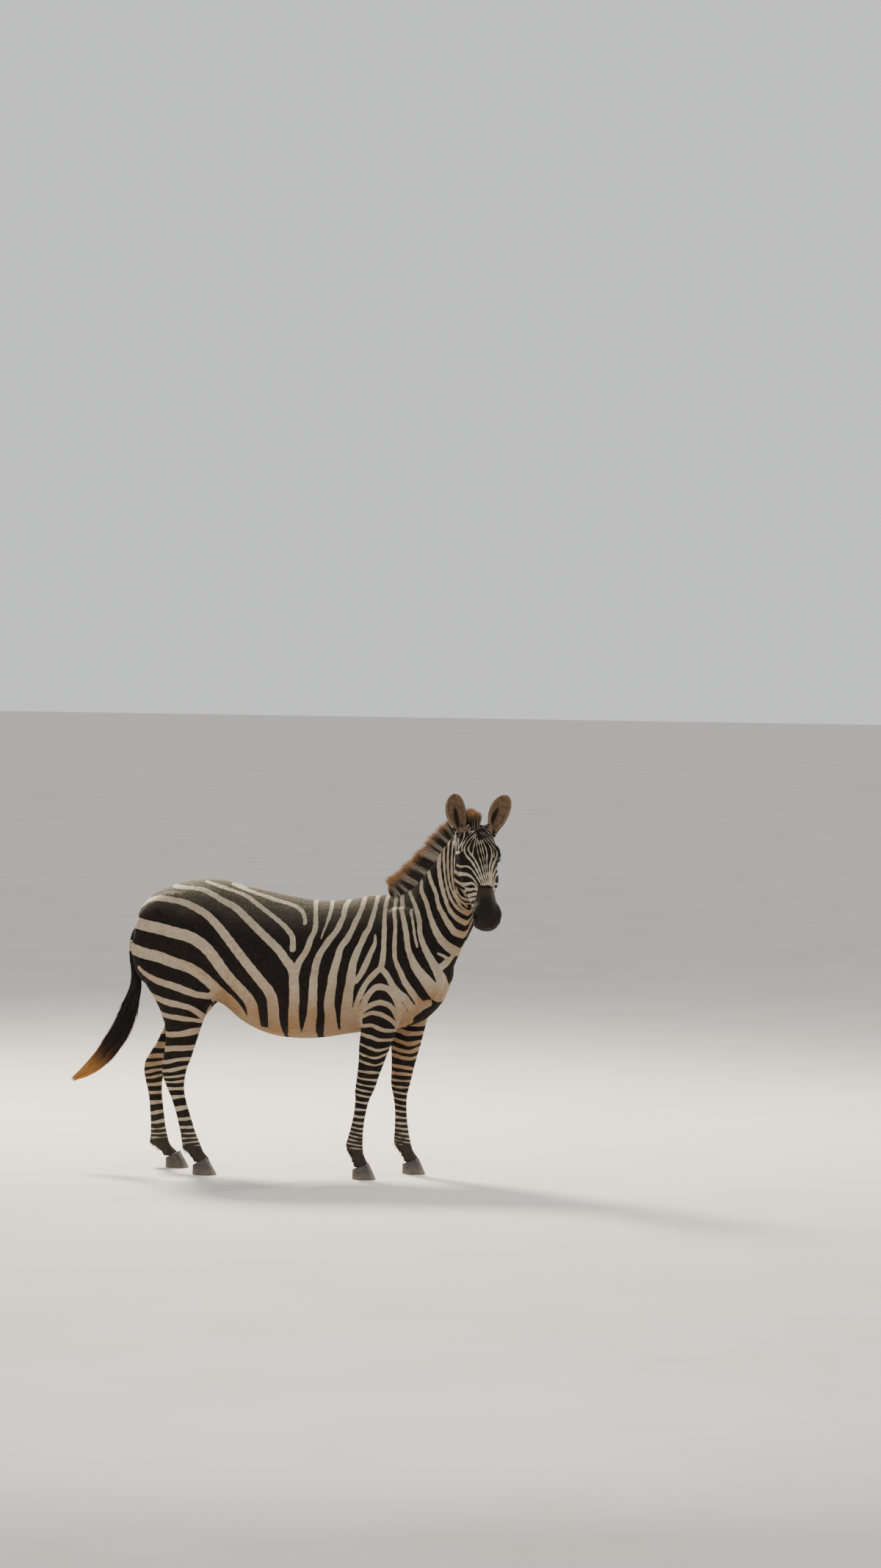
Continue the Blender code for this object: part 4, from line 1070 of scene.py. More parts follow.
def readField(made, x, y):
    low, step, field = made
    fx = np.clip((x - low[0]) / step, 0, field.shape[0] - 1.001)
    fy = np.clip((y - low[1]) / step, 0, field.shape[1] - 1.001)
    i, j = fx.astype(int), fy.astype(int)
    u, v = fx - i, fy - j
    return (
        field[i, j] * (1 - u) * (1 - v) + field[i + 1, j] * u * (1 - v)
        + field[i, j + 1] * (1 - u) * v + field[i + 1, j + 1] * u * v
    )


sideField = strokeField(sideStrokes, (-0.80, 0.50), (0.95, 1.70), 0.0025, 1000)
faceField = strokeField(faceStrokes, (-0.05, -0.34), (0.56, 0.34), 0.0012, 10000)


def sideView(points):
    # the left side wears the same bands, a little differently placed, and its legs stand elsewhere
    x, z = points[:, 0].copy(), points[:, 2].copy()
    middle = np.interp(
        x, (0.60, 0.66, 0.72, 0.78, 0.83, 0.88), (0.0, -0.012, -0.035, -0.072, -0.122, -0.160))
    left = smooth(points[:, 1] - middle, 0.035, 0.105)
    fore = (x > 0.1).astype(float)
    reach = 1 - smooth(z, 0.72, 1.00)
    gap = np.interp(z, (0.41, 0.78, 1.03), (0.129, 0.089, 0.032)) * fore
    gap += np.interp(z, (0.45, 0.80), (-0.139, -0.001)) * (1 - fore)
    x -= left * reach * gap
    # the neck bends to the right, so its left side is the longer one
    x -= left * markSet["neckShift"] * smooth(points[:, 0], 0.50, 0.98) * smooth(points[:, 2], 1.00, 1.20)
    x += left * (0.012 * np.sin(5.1 * z + 3.0 * x + 0.6) + 0.006 * np.sin(11.0 * z))
    z += left * 0.010 * np.sin(6.3 * x + 1.1)
    return x, z


def ringMarks(points, name):
    near, middle = legPlace(points, name)
    x = points[:, 0] - middle[:, 0]
    y = points[:, 1] - middle[:, 1]
    hind = name.startswith("hind")
    phase = 2.0 if name.endswith("left") else 0.0
    lift = -0.10 * x if hind else 0.16 * x
    z = points[:, 2] + lift + 0.9 * x * y
    z = z + 0.004 * np.sin(points[:, 2] * 31 + phase + x * 22) + phase * 0.0025
    away = np.full(len(points), markSet["far"])
    for high, half in ringSets["hind" if hind else "fore"]:
        away = np.minimum(away, np.abs(z - high / 1000) * 0.97 - half / 10000)
    return np.where(near, away, markSet["far"])


def earBands(points, away):
    # back of the ear: pale tip, broad dark band, pale and dark bands below it; pale rims
    for side in (-1, 1):
        h, _, c = earPlace(points, side)
        wavy = h + 0.02 * np.sin(c * 9 + 1.0)
        bands = np.full(len(points), 0.02)
        for middle, half in earSet["bands"]:
            bands = np.minimum(bands, (np.abs(wavy - middle) - half) * earSet["height"])
        rim = np.interp(h, earWidths[0], earWidths[1])
        bands = np.minimum(bands, (rim - np.abs(c)) * earSet["width"] - earSet["paleRim"])
        away = np.where(onEar(points, side, 0.16, 1.06), bands, away)
    return away


def marking(points, normals):
    # signed distance to the edge of the pale hair: below nothing inside it
    m = markSet
    x, y, z = points.T
    away = readField(sideField, *sideView(points))
    for name in legs:
        rings = ringMarks(points, name)
        rings = np.where(z < m["ringTop"][name[:4]], rings, m["far"])
        away = np.where(np.abs(rings) < m["far"] - 0.01, np.minimum(away, rings), away)
    under = smooth(-normals[:, 2], 0.55, 0.98) * (z > 0.60)
    away = away - m["under"] * under
    # inner faces of the upper legs are paler
    for name in legs:
        near, middle = legPlace(points, name)
        inner = smooth(-sideOf(name) * (y - middle[:, 1]), 0.004, 0.030)
        reach = smooth(z, 0.42, 0.50) * (1 - smooth(z, 0.74, 0.82))
        away = away - np.where(near, m["inner"] * inner * reach, 0)
    # dark line down the back, and under the belly
    back = (z > 1.20) & (normals[:, 2] > 0.5) & (x < 0.46)
    away = np.where(back, np.maximum(away, m["backLine"] - np.abs(y)), away)
    belly = (normals[:, 2] < -0.6) & (z < 0.80) & (np.abs(y) < 0.05)
    away = np.where(belly, np.maximum(away, m["bellyLine"] - np.abs(y)), away)
    low = smooth(z, 0.118, 0.135)
    away = np.where(z < 0.14, away + 0.02 * (1 - low), away)
    # the face has bands of its own, and a dark line parts them from the neck's
    u, d, w = headPlace(points)
    face = readField(faceField, u, w + np.sign(w) * np.maximum(d - 0.012, 0))
    edge = headEdge(points)
    near = isHead(points)
    away = np.where(near & (edge < 0), face, away)
    jaw = near & (d > 0.09)
    away = np.where(jaw, np.maximum(away, m["jawLine"] - np.abs(edge)), away)
    for line in m["throatLines"]:
        pale = np.abs(edge - line) - m["throatHalf"]
        away = np.where(jaw & (edge > 0), np.minimum(away, pale), away)
    away = earBands(points, away)
    return away + 0.0008 * np.sin(points @ (61, 17, 43)) + 0.0006 * np.sin(points @ (-97, 71, 113))


# dust on the lowest legs; the other values set painted warm shade
dustAndWarmShadeSet = {
    "legDust": 0.35, "under": 0.95, "low": 0.45, "innerLegs": 0.8, "jaw": 0.8,  # strongest value of each
}


def finishMasks(points, normals):
    # bare leather; dust on the lowest legs, and dust with painted rim light paling the top of the body;
    # brown, which is painted warm shade on the undersides and real brown on the nose and chin; and the hollow
    # of the ear
    s = dustAndWarmShadeSet
    leather = bareLeather(points)
    u, d = headPlace(points)[:2]
    on = isHead(points)
    z = points[:, 2]
    # painted rim light: faces turned up along the top of the back and croup are paled, as if lit from behind,
    # together with dust; the lowest legs carry dust
    up = smooth(normals[:, 2], 0.15, 0.90)
    paleWash = up * smooth(z, 1.06, 1.26) * ~on
    paleWash = np.maximum(paleWash, s["legDust"] * (1 - smooth(z, 0.10, 0.35)))
    # painted warm shade: undersides, the lower body and the inner faces of the legs are made browner
    brown = s["under"] * smooth(-normals[:, 2], -0.15, 0.75) * smooth(z, 0.45, 0.60)
    brown = np.maximum(brown, s["low"] * (1 - smooth(z, 0.70, 1.00)) * smooth(z, 0.30, 0.60))
    for name in legs:
        near, middle = legPlace(points, name)
        inner = smooth(-sideOf(name) * (points[:, 1] - middle[:, 1]), -0.010, 0.025) * smooth(z, 0.20, 0.45)
        brown = np.maximum(brown, np.where(near, s["innerLegs"] * inner, 0))
    # on the head the painted warm shade lies only under the jaw; the nose and chin leather is really browner
    brown = np.where(on, brown * smooth(d, 0.16, 0.24) * s["jaw"], brown)
    nose = smooth(u, 0.325, 0.345) * (1 - smooth(u, 0.370, 0.420)) * (1 - smooth(d, 0.020, 0.060))
    chin = smooth(d, 0.085, 0.125) * smooth(u, 0.38, 0.43)
    brown = np.where(on & (leather > 0.3), np.maximum(nose, chin), brown)
    return np.stack((leather, paleWash, brown, earHollow(points, normals)), axis=1)


def earHollow(points, normals):
    # fur of the inner face: 0 on the rims and the back, 1 inside, more than 1 in the dark middle
    hollow = np.zeros(len(points))
    for side in (-1, 1):
        opening, across = earAxes(side)[2:]
        h, o, c = earPlace(points, side)
        rim = np.interp(h, earWidths[0], earWidths[1])
        inside = (h > 0.02) & (h < 1.05) & (np.abs(c) < rim + 0.03) & (np.abs(o) < 0.5)
        facing = normals @ opening * 0.8 - normals @ across * c * 1.6
        deep = 1 - smooth(np.hypot((h - 0.38) / 0.36, (c + 0.06 * side) / 0.16), 0.35, 1.0)
        hollow = np.maximum(hollow, np.where(inside, smooth(facing, 0.00, 0.30) * (1 + deep), 0))
    return hollow


# unwrap of the skin: each limb, the head and the trunk on strips of their own
charts = {
    # corner and size on the unwrap
    "trunk": ((0.01, 0.36), (0.62, 0.63)), "head": ((0.65, 0.56), (0.34, 0.43)),
    "fore_right": ((0.01, 0.01), (0.14, 0.33)), "fore_left": ((0.16, 0.01), (0.14, 0.33)),
    "hind_right": ((0.31, 0.01), (0.15, 0.33)), "hind_left": ((0.47, 0.01), (0.15, 0.33)),
    "earRight": ((0.65, 0.28), (0.16, 0.26)), "earLeft": ((0.83, 0.28), (0.16, 0.26)),
    "tail": ((0.65, 0.01), (0.12, 0.24)),
}
chartNames = list(charts)


def chartOf(points):
    found = np.zeros(len(points), int)
    found[isHead(points)] = chartNames.index("head")
    for name in legs:
        near = legPlace(points, name)[0]
        found[near & (points[:, 2] < 0.70)] = chartNames.index(name)
    for name in ("earRight", "earLeft"):
        found[onEar(points, sideOf(name), 0.10, 1.05)] = chartNames.index(name)
    tail = (points[:, 0] < -0.71) & (np.abs(points[:, 1]) < 0.024) & (points[:, 2] < 1.06)
    found[tail] = chartNames.index("tail")
    return found


def unwrapped(points, chart, around=None):
    # place along each part and angle round it; around keeps a face's corners on one side of the seam
    along = np.zeros(len(points))
    angle = np.zeros(len(points))
    for number, name in enumerate(chartNames):
        pick = chart == number
        if not pick.any():
            continue
        p = points[pick]
        if name == "trunk":
            middle = np.interp(p[:, 0], (-0.75, 0.0, 0.45, 0.70, 0.90), (1.05, 0.97, 0.98, 1.20, 1.45))
            shiftY = np.interp(p[:, 0], (0.60, 0.90), (0.0, -0.14))
            along[pick] = (p[:, 0] + 0.80) / 1.75
            angle[pick] = np.arctan2(p[:, 1] - shiftY, middle - p[:, 2])
        elif name == "head":
            u, d, w = headPlace(p)
            along[pick] = (u + 0.06) / 0.62
            angle[pick] = np.arctan2(w, d - 0.085)
        elif name in legs:
            middle = legPlace(p, name)[1]
            along[pick] = p[:, 2] / 0.72
            angle[pick] = np.arctan2(p[:, 1] - middle[:, 1], p[:, 0] - middle[:, 0])
        elif name == "tail":
            along[pick] = (p[:, 2] - 0.78) / 0.30
            angle[pick] = np.arctan2(p[:, 1], p[:, 0] + 0.742)
        else:
            h, o, c = earPlace(p, sideOf(name))
            along[pick] = h / 1.1
            angle[pick] = np.arctan2(c, o - 0.9) * 1.6
    if around is not None:
        angle = around + (angle - around + math.pi) % (2 * math.pi) - math.pi
    corner = np.array([charts[n][0] for n in chartNames])[chart]
    size = np.array([charts[n][1] for n in chartNames])[chart]
    place = np.stack((np.clip(along, 0, 1), np.clip(0.5 + angle / (2 * math.pi) * 0.96, 0, 1)), axis=1)
    return corner + place * size, angle


def addFloat(piece, name, values):
    made = piece.data.attributes.new(name, "FLOAT", "POINT")
    made.data.foreach_set("value", values.astype(np.float32))


def addColour(piece, name, values):
    made = piece.data.attributes.new(name, "FLOAT_COLOR", "POINT")
    made.data.foreach_set("color", values.astype(np.float32).ravel())


def addFinishAndPaintedLight(piece, masks):
    # three masks ride on the colour; the hollow of the ear also has a layer of its own
    addColour(piece, "finish", masks)
    addFloat(piece, "hollow", masks[:, 3])


def addBakeMap(piece, corners):
    made = piece.data.uv_layers.new(name="OFBake")
    made.data.foreach_set("uv", corners.astype(np.float32).ravel())


def addPatches(piece, roots, patch, faces):
    # every tuft or strand takes a small patch of the unwrap at its root
    corner = unwrapped(roots, chartOf(roots))[0]
    addBakeMap(piece, (corner[:, None, :] + patch[None]).reshape(-1, 2)[faces.ravel()])


print("marking the skin")
normals = normalsOf(skin)
points = pointsOf(skin)
addFloat(skin, "marking", marking(points, normals))
addFinishAndPaintedLight(skin, finishMasks(points, normals))
addFloat(skin, "tone", np.full(len(points), 0.5))
addFloat(skin, "along", np.full(len(points), 0.15))
loopVertex = np.empty(len(skin.data.loops), dtype=np.int64)
skin.data.loops.foreach_get("vertex_index", loopVertex)
loopTotal = np.empty(len(skin.data.polygons), dtype=np.int64)
skin.data.polygons.foreach_get("loop_total", loopTotal)
centres = np.empty(len(skin.data.polygons) * 3)
skin.data.polygons.foreach_get("center", centres)
centres = centres.reshape(-1, 3) - shift
chart = chartOf(centres)
middleAngle = unwrapped(centres, chart)[1]
cornerChart = np.repeat(chart, loopTotal)
addBakeMap(skin, unwrapped(points[loopVertex], cornerChart, np.repeat(middleAngle, loopTotal))[0])
smoothFaces(skin)
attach(skin, root)
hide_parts("barrel", "forequarters", "hindquarters", "neck", "head", "muzzle", "ear_right", "ear_left",
            "tail_dock", *[f"forearm_{s}" for s in ("right", "left")],
            *[f"gaskin_{s}" for s in ("right", "left")], *[f"cannon_{name}" for name in legs])


# shader groups
def newGroup(name, inputs, outputs):
    group = bpy.data.node_groups.new(name, "ShaderNodeTree")
    for label, kind, value in inputs:
        made = group.interface.new_socket(name=label, in_out="INPUT", socket_type=kind)
        if value is not None:
            made.default_value = value
    for label, kind in outputs:
        group.interface.new_socket(name=label, in_out="OUTPUT", socket_type=kind)
    return group, group.nodes.new("NodeGroupInput"), group.nodes.new("NodeGroupOutput")


def wire(tree, source, target):
    tree.links.new(source, target)


def mathNode(tree, kind, first, second=None, third=None, clamp=False):
    node = tree.nodes.new("ShaderNodeMath")
    node.operation = kind
    node.use_clamp = clamp
    for socket, value in zip(node.inputs, (first, second, third)):
        if value is None:
            continue
        if isinstance(value, (int, float)):
            socket.default_value = value
        else:
            wire(tree, value, socket)
    return node.outputs[0]


def rangeNode(tree, value, low, high, toLow=0.0, toHigh=1.0, smoothly=True):
    node = tree.nodes.new("ShaderNodeMapRange")
    node.interpolation_type = "SMOOTHSTEP" if smoothly else "LINEAR"
    wire(tree, value, node.inputs["Value"])
    for label, number in (("From Min", low), ("From Max", high), ("To Min", toLow), ("To Max", toHigh)):
        if isinstance(number, (int, float)):
            node.inputs[label].default_value = number
        else:
            wire(tree, number, node.inputs[label])
    return node.outputs["Result"]


def mixColour(tree, factor, first, second, kind="MIX"):
    node = tree.nodes.new("ShaderNodeMix")
    node.data_type = "RGBA"
    node.blend_type = kind
    for socket, value in zip((node.inputs[0], node.inputs[6], node.inputs[7]), (factor, first, second)):
        if isinstance(value, (int, float)):
            socket.default_value = value
        elif isinstance(value, tuple):
            socket.default_value = (*value[:3], 1.0)
        else:
            wire(tree, value, socket)
    return node.outputs[2]


def noiseNode(tree, scale, detail=3.0, rough=0.55, vector=None):
    node = tree.nodes.new("ShaderNodeTexNoise")
    node.inputs["Scale"].default_value = scale
    node.inputs["Detail"].default_value = detail
    node.inputs["Roughness"].default_value = rough
    if vector is not None:
        wire(tree, vector, node.inputs["Vector"])
    return node.outputs["Fac"]


def scaledColour(tree, colour, amount):
    node = tree.nodes.new("ShaderNodeVectorMath")
    node.operation = "SCALE"
    wire(tree, colour, node.inputs[0])
    wire(tree, amount, node.inputs["Scale"])
    return node.outputs[0]


def addBump(tree, shader, height, strength, distance):
    bump = tree.nodes.new("ShaderNodeBump")
    bump.inputs["Strength"].default_value = strength
    bump.inputs["Distance"].default_value = distance
    wire(tree, height, bump.inputs["Height"])
    wire(tree, bump.outputs["Normal"], shader.inputs["Normal"])


def placeVector(tree, stretch=None):
    node = tree.nodes.new("ShaderNodeNewGeometry")
    if stretch is None:
        return node.outputs["Position"]
    scaled = tree.nodes.new("ShaderNodeVectorMath")
    scaled.operation = "MULTIPLY"
    wire(tree, node.outputs["Position"], scaled.inputs[0])
    scaled.inputs[1].default_value = stretch
    return scaled.outputs[0]


coatColours = {
    "pale": (0.440, 0.372, 0.280),
    # for random brown stain, and for painted warm shade on the undersides
    "paleBrown": (0.300, 0.180, 0.090),
    "dark": (0.0072, 0.0058, 0.0048),
    "darkBrown": (0.0210, 0.0130, 0.0085),
    # hair paled by painted rim light on the top of the body, and by dust on the lowest legs
    "rimLightAndDustPale": (0.520, 0.455, 0.350),
    "rimLightAndDustDark": (0.185, 0.158, 0.116),
    "leather": (0.0085, 0.0066, 0.0056),
    "leatherWarm": (0.046, 0.028, 0.018),
    "earPale": (0.165, 0.112, 0.072),
    "earBrown": (0.100, 0.056, 0.032),
    "earDeep": (0.018, 0.010, 0.007),
}


def hideGroup():
    inputs = [
        ("Marking", "NodeSocketFloat", 0.0), ("FinishAndPaintedLight", "NodeSocketColor", (0, 0, 0, 1)),
        ("Hollow", "NodeSocketFloat", 0.0),
        ("Tone", "NodeSocketFloat", 0.5), ("Along", "NodeSocketFloat", 0.0),
        ("Edge", "NodeSocketFloat", 0.0012),
    ]
    outputs = [("Color", "NodeSocketColor"), ("Roughness", "NodeSocketFloat"), ("Leather", "NodeSocketFloat")]
    group, source, target = newGroup("coatMarkings", inputs, outputs)
    c = coatColours
    place = placeVector(group)
    wobble = mathNode(group, "SUBTRACT", noiseNode(group, 90.0, 2.0, 0.5, place), 0.5)
    marked = mathNode(group, "MULTIPLY_ADD", wobble, 0.0022, source.outputs["Marking"])
    edgeLow = mathNode(group, "MULTIPLY", source.outputs["Edge"], -1.0)
    dark = rangeNode(group, marked, edgeLow, source.outputs["Edge"])
    apart = group.nodes.new("ShaderNodeSeparateColor")
    wire(group, source.outputs["FinishAndPaintedLight"], apart.inputs[0])
    leather, paleWash, brown = apart.outputs[0], apart.outputs[1], apart.outputs[2]
    cloudy = noiseNode(group, 7.0, 4.0, 0.6, place)
    fineCloud = noiseNode(group, 55.0, 3.0, 0.6, place)
    # random brown stain, with the painted warm shade of the brown mask added to it
    brownShare = mathNode(group, "MULTIPLY", rangeNode(group, cloudy, 0.35, 0.75), 0.35)
    brownShare = mathNode(group, "ADD", brownShare, mathNode(group, "MULTIPLY", brown, 0.75), clamp=True)
    pale = mixColour(group, brownShare, c["pale"], c["paleBrown"])
    darkHair = mixColour(group, rangeNode(group, fineCloud, 0.40, 0.80), c["dark"], c["darkBrown"])
    # painted rim light with dust on the top of the body, and dust on the lowest legs, speckled like glints on
    # the hair; it pales the pale and the dark hair alike
    glintAndDustSpeck = rangeNode(group, noiseNode(group, 420.0, 2.0, 0.7, place), 0.35, 0.70)
    paleWashShare = mathNode(group, "MULTIPLY", paleWash, mathNode(group, "MULTIPLY_ADD", glintAndDustSpeck, 0.75, 0.15), clamp=True)
    pale = mixColour(group, paleWashShare, pale, c["rimLightAndDustPale"])
    darkHair = mixColour(group, paleWashShare, darkHair, c["rimLightAndDustDark"])
    coat = mixColour(group, dark, pale, darkHair)
    hollow = source.outputs["Hollow"]
    inner = mixColour(group, rangeNode(group, fineCloud, 0.3, 0.7), c["earBrown"], c["earPale"])
    ragged = mathNode(group, "MULTIPLY_ADD", mathNode(group, "SUBTRACT", fineCloud, 0.5), 0.9, hollow)
    inner = mixColour(group, rangeNode(group, ragged, 1.15, 1.75), inner, c["earDeep"])
    coat = mixColour(group, rangeNode(group, hollow, 0.0, 1.0), coat, inner)
    warm = rangeNode(group, cloudy, 0.40, 0.75, 0.0, 0.25)
    warm = mathNode(group, "ADD", warm, mathNode(group, "MULTIPLY", brown, 0.60), clamp=True)
    hide = mixColour(group, warm, c["leather"], c["leatherWarm"])
    coat = mixColour(group, leather, coat, hide)
    shade = mathNode(group, "MULTIPLY_ADD", source.outputs["Tone"], 0.42, 0.79)
    lighter = mathNode(group, "MULTIPLY_ADD", source.outputs["Along"], 0.30, 0.86)
    shade = mathNode(group, "MULTIPLY", shade, lighter)
    wire(group, scaledColour(group, coat, shade), target.inputs["Color"])
    rough = mathNode(group, "MULTIPLY_ADD", leather, 0.02, 0.72)
    rough = mathNode(group, "MULTIPLY_ADD", mathNode(group, "SUBTRACT", fineCloud, 0.5), 0.12, rough)
    wire(group, rough, target.inputs["Roughness"])
    wire(group, leather, target.inputs["Leather"])
    return group


def grainGroup():
    inputs = [("Scale", "NodeSocketFloat", 600.0), ("Leather", "NodeSocketFloat", 0.0)]
    group, source, target = newGroup("furGrain", inputs, [("Height", "NodeSocketFloat")])
    place = placeVector(group, (0.45, 1.0, 0.35))
    fur = group.nodes.new("ShaderNodeTexNoise")
    wire(group, place, fur.inputs["Vector"])
    wire(group, source.outputs["Scale"], fur.inputs["Scale"])
    fur.inputs["Detail"].default_value = 3.0
    pores = group.nodes.new("ShaderNodeTexVoronoi")
    wire(group, placeVector(group), pores.inputs["Vector"])
    pores.inputs["Scale"].default_value = 520.0
    pebble = rangeNode(group, pores.outputs["Distance"], 0.0, 0.55)
    wrinkle = noiseNode(group, 130.0, 4.0, 0.6, placeVector(group))
    skinny = mathNode(group, "MULTIPLY_ADD", wrinkle, 1.2, pebble)
    height = group.nodes.new("ShaderNodeMix")
    wire(group, source.outputs["Leather"], height.inputs[0])
    wire(group, fur.outputs["Fac"], height.inputs[2])
    wire(group, skinny, height.inputs[3])
    wire(group, height.outputs[0], target.inputs["Height"])
    return group


coatMarkings = hideGroup()
furGrain = grainGroup()


def newMaterial(name):
    material = bpy.data.materials.new(name)
    material.use_nodes = True
    return material, material.node_tree, material.node_tree.nodes["Principled BSDF"]


def attributeNode(tree, name):
    node = tree.nodes.new("ShaderNodeAttribute")
    node.attribute_name = name
    return node


def coatMaterial(name, bumpStrength, sheen):
    material, tree, shader = newMaterial(name)
    marks = tree.nodes.new("ShaderNodeGroup")
    marks.node_tree = coatMarkings
    wire(tree, attributeNode(tree, "finish").outputs["Color"], marks.inputs["FinishAndPaintedLight"])
    for layer in ("marking", "hollow", "tone", "along"):
        wire(tree, attributeNode(tree, layer).outputs["Fac"], marks.inputs[layer.capitalize()])
    wire(tree, marks.outputs["Color"], shader.inputs["Base Color"])
    wire(tree, marks.outputs["Roughness"], shader.inputs["Roughness"])
    if bumpStrength:
        grain = tree.nodes.new("ShaderNodeGroup")
        grain.node_tree = furGrain
        wire(tree, marks.outputs["Leather"], grain.inputs["Leather"])
        addBump(tree, shader, grain.outputs["Height"], bumpStrength, 0.0008)
    shader.inputs["Sheen Weight"].default_value = sheen
    shader.inputs["Sheen Roughness"].default_value = 0.45
    shader.inputs["Specular IOR Level"].default_value = 0.16
    return material


skin.data.materials.append(coatMaterial("zebraHide", 0.55, 0.02))
coatHair = coatMaterial("zebraHair", 0.0, 0.03)


def longHairMaterial(name, tip, tipFrom, tipTo, pale, dark):
    material, tree, shader = newMaterial(name)
    along = attributeNode(tree, "along").outputs["Fac"]
    tone = attributeNode(tree, "tone").outputs["Fac"]
    mark = attributeNode(tree, "marking").outputs["Fac"]
    colour = mixColour(tree, rangeNode(tree, mark, -0.0015, 0.0015), pale, dark)
    # the tips are painted with an orange glow, standing in for light shining through the hair
    start = mathNode(tree, "MULTIPLY_ADD", tone, 0.16, tipFrom)
    reach = rangeNode(tree, along, start, tipTo)
    glowTipColour = mixColour(tree, tone, tip[0], tip[1])
    colour = mixColour(tree, reach, colour, glowTipColour)
    shade = mathNode(tree, "MULTIPLY_ADD", tone, 0.5, 0.75)
    wire(tree, scaledColour(tree, colour, shade), shader.inputs["Base Color"])
    shader.inputs["Roughness"].default_value = 0.50
    shader.inputs["Specular IOR Level"].default_value = 0.25
    return material


# the first pair of colours in each call paints the glow of light through the hair tips
maneMaterial = longHairMaterial(
    "maneStrands", ((0.20, 0.090, 0.032), (0.50, 0.255, 0.100)), 0.55, 1.00,
    (0.240, 0.200, 0.150), (0.0115, 0.0080, 0.0060))
tailMaterial = longHairMaterial(
    "tailStrands", ((0.30, 0.120, 0.030), (0.62, 0.30, 0.080)), 0.62, 0.92,
    (0.30, 0.24, 0.17), (0.0095, 0.0070, 0.0055))


eyeColours = {
    "irisDark": (0.010, 0.005, 0.003), "irisLight": (0.036, 0.017, 0.008),
    "ring": (0.010, 0.007, 0.006), "white": (0.050, 0.030, 0.022), "pupil": (0.003, 0.003, 0.004),
}


def makeEyeMaterial():
    material, tree, shader = newMaterial("darkEye")
    along = attributeNode(tree, "gazeAlong").outputs["Fac"]
    rise = attributeNode(tree, "gazeUp").outputs["Fac"]
    a = mathNode(tree, "MULTIPLY", along, along)
    b = mathNode(tree, "MULTIPLY", rise, rise)
    c = eyeColours
    outward = mathNode(tree, "SQRT", mathNode(tree, "ADD", a, b))
    oval = mathNode(tree, "SQRT", mathNode(tree, "MULTIPLY_ADD", b, 4.2, a))
    streak = noiseNode(tree, 900.0, 3.0, 0.6, placeVector(tree))
    iris = mixColour(tree, streak, c["irisDark"], c["irisLight"])
    colour = mixColour(tree, rangeNode(tree, outward, 0.72, 0.80), iris, c["ring"])
    colour = mixColour(tree, rangeNode(tree, outward, 0.84, 0.93), colour, c["white"])
    colour = mixColour(tree, rangeNode(tree, oval, 0.47, 0.42), colour, c["pupil"])
    wire(tree, colour, shader.inputs["Base Color"])
    shader.inputs["Roughness"].default_value = 0.18
    shader.inputs["Specular IOR Level"].default_value = 0.20
    shader.inputs["Coat Weight"].default_value = 0.35
    shader.inputs["Coat Roughness"].default_value = 0.03
    return material


hoofColours = {
    "dark": (0.022, 0.018, 0.015), "light": (0.060, 0.050, 0.042),
    "rings": (0.085, 0.072, 0.060), "paleWash": (0.20, 0.158, 0.115),
}


def makeHoofMaterial():
    material, tree, shader = newMaterial("hoofHorn")
    c = hoofColours
    streak = noiseNode(tree, 260.0, 4.0, 0.6, placeVector(tree, (1.0, 1.0, 0.10)))
    rings = noiseNode(tree, 150.0, 3.0, 0.5, placeVector(tree, (0.12, 0.12, 1.0)))
    cloudy = noiseNode(tree, 22.0, 4.0, 0.6, placeVector(tree))
    colour = mixColour(tree, rangeNode(tree, streak, 0.3, 0.7), c["dark"], c["light"])
    colour = mixColour(tree, rangeNode(tree, rings, 0.45, 0.75, 0.0, 0.5), colour, c["rings"])
    apart = tree.nodes.new("ShaderNodeSeparateXYZ")
    wire(tree, placeVector(tree), apart.inputs[0])
    low = rangeNode(tree, apart.outputs["Z"], 0.045, 0.0)
    paleWashShare = mathNode(tree, "MULTIPLY", low, rangeNode(tree, cloudy, 0.30, 0.70, 0.10, 0.60))
    colour = mixColour(tree, paleWashShare, colour, c["paleWash"])
    wire(tree, colour, shader.inputs["Base Color"])
    wire(tree, rangeNode(tree, cloudy, 0.3, 0.7, 0.45, 0.75), shader.inputs["Roughness"])
    addBump(tree, shader, mathNode(tree, "MULTIPLY_ADD", rings, 1.5, streak), 0.5, 0.0006)
    return material


eyeMaterial = makeEyeMaterial()
hoofMaterial = makeHoofMaterial()


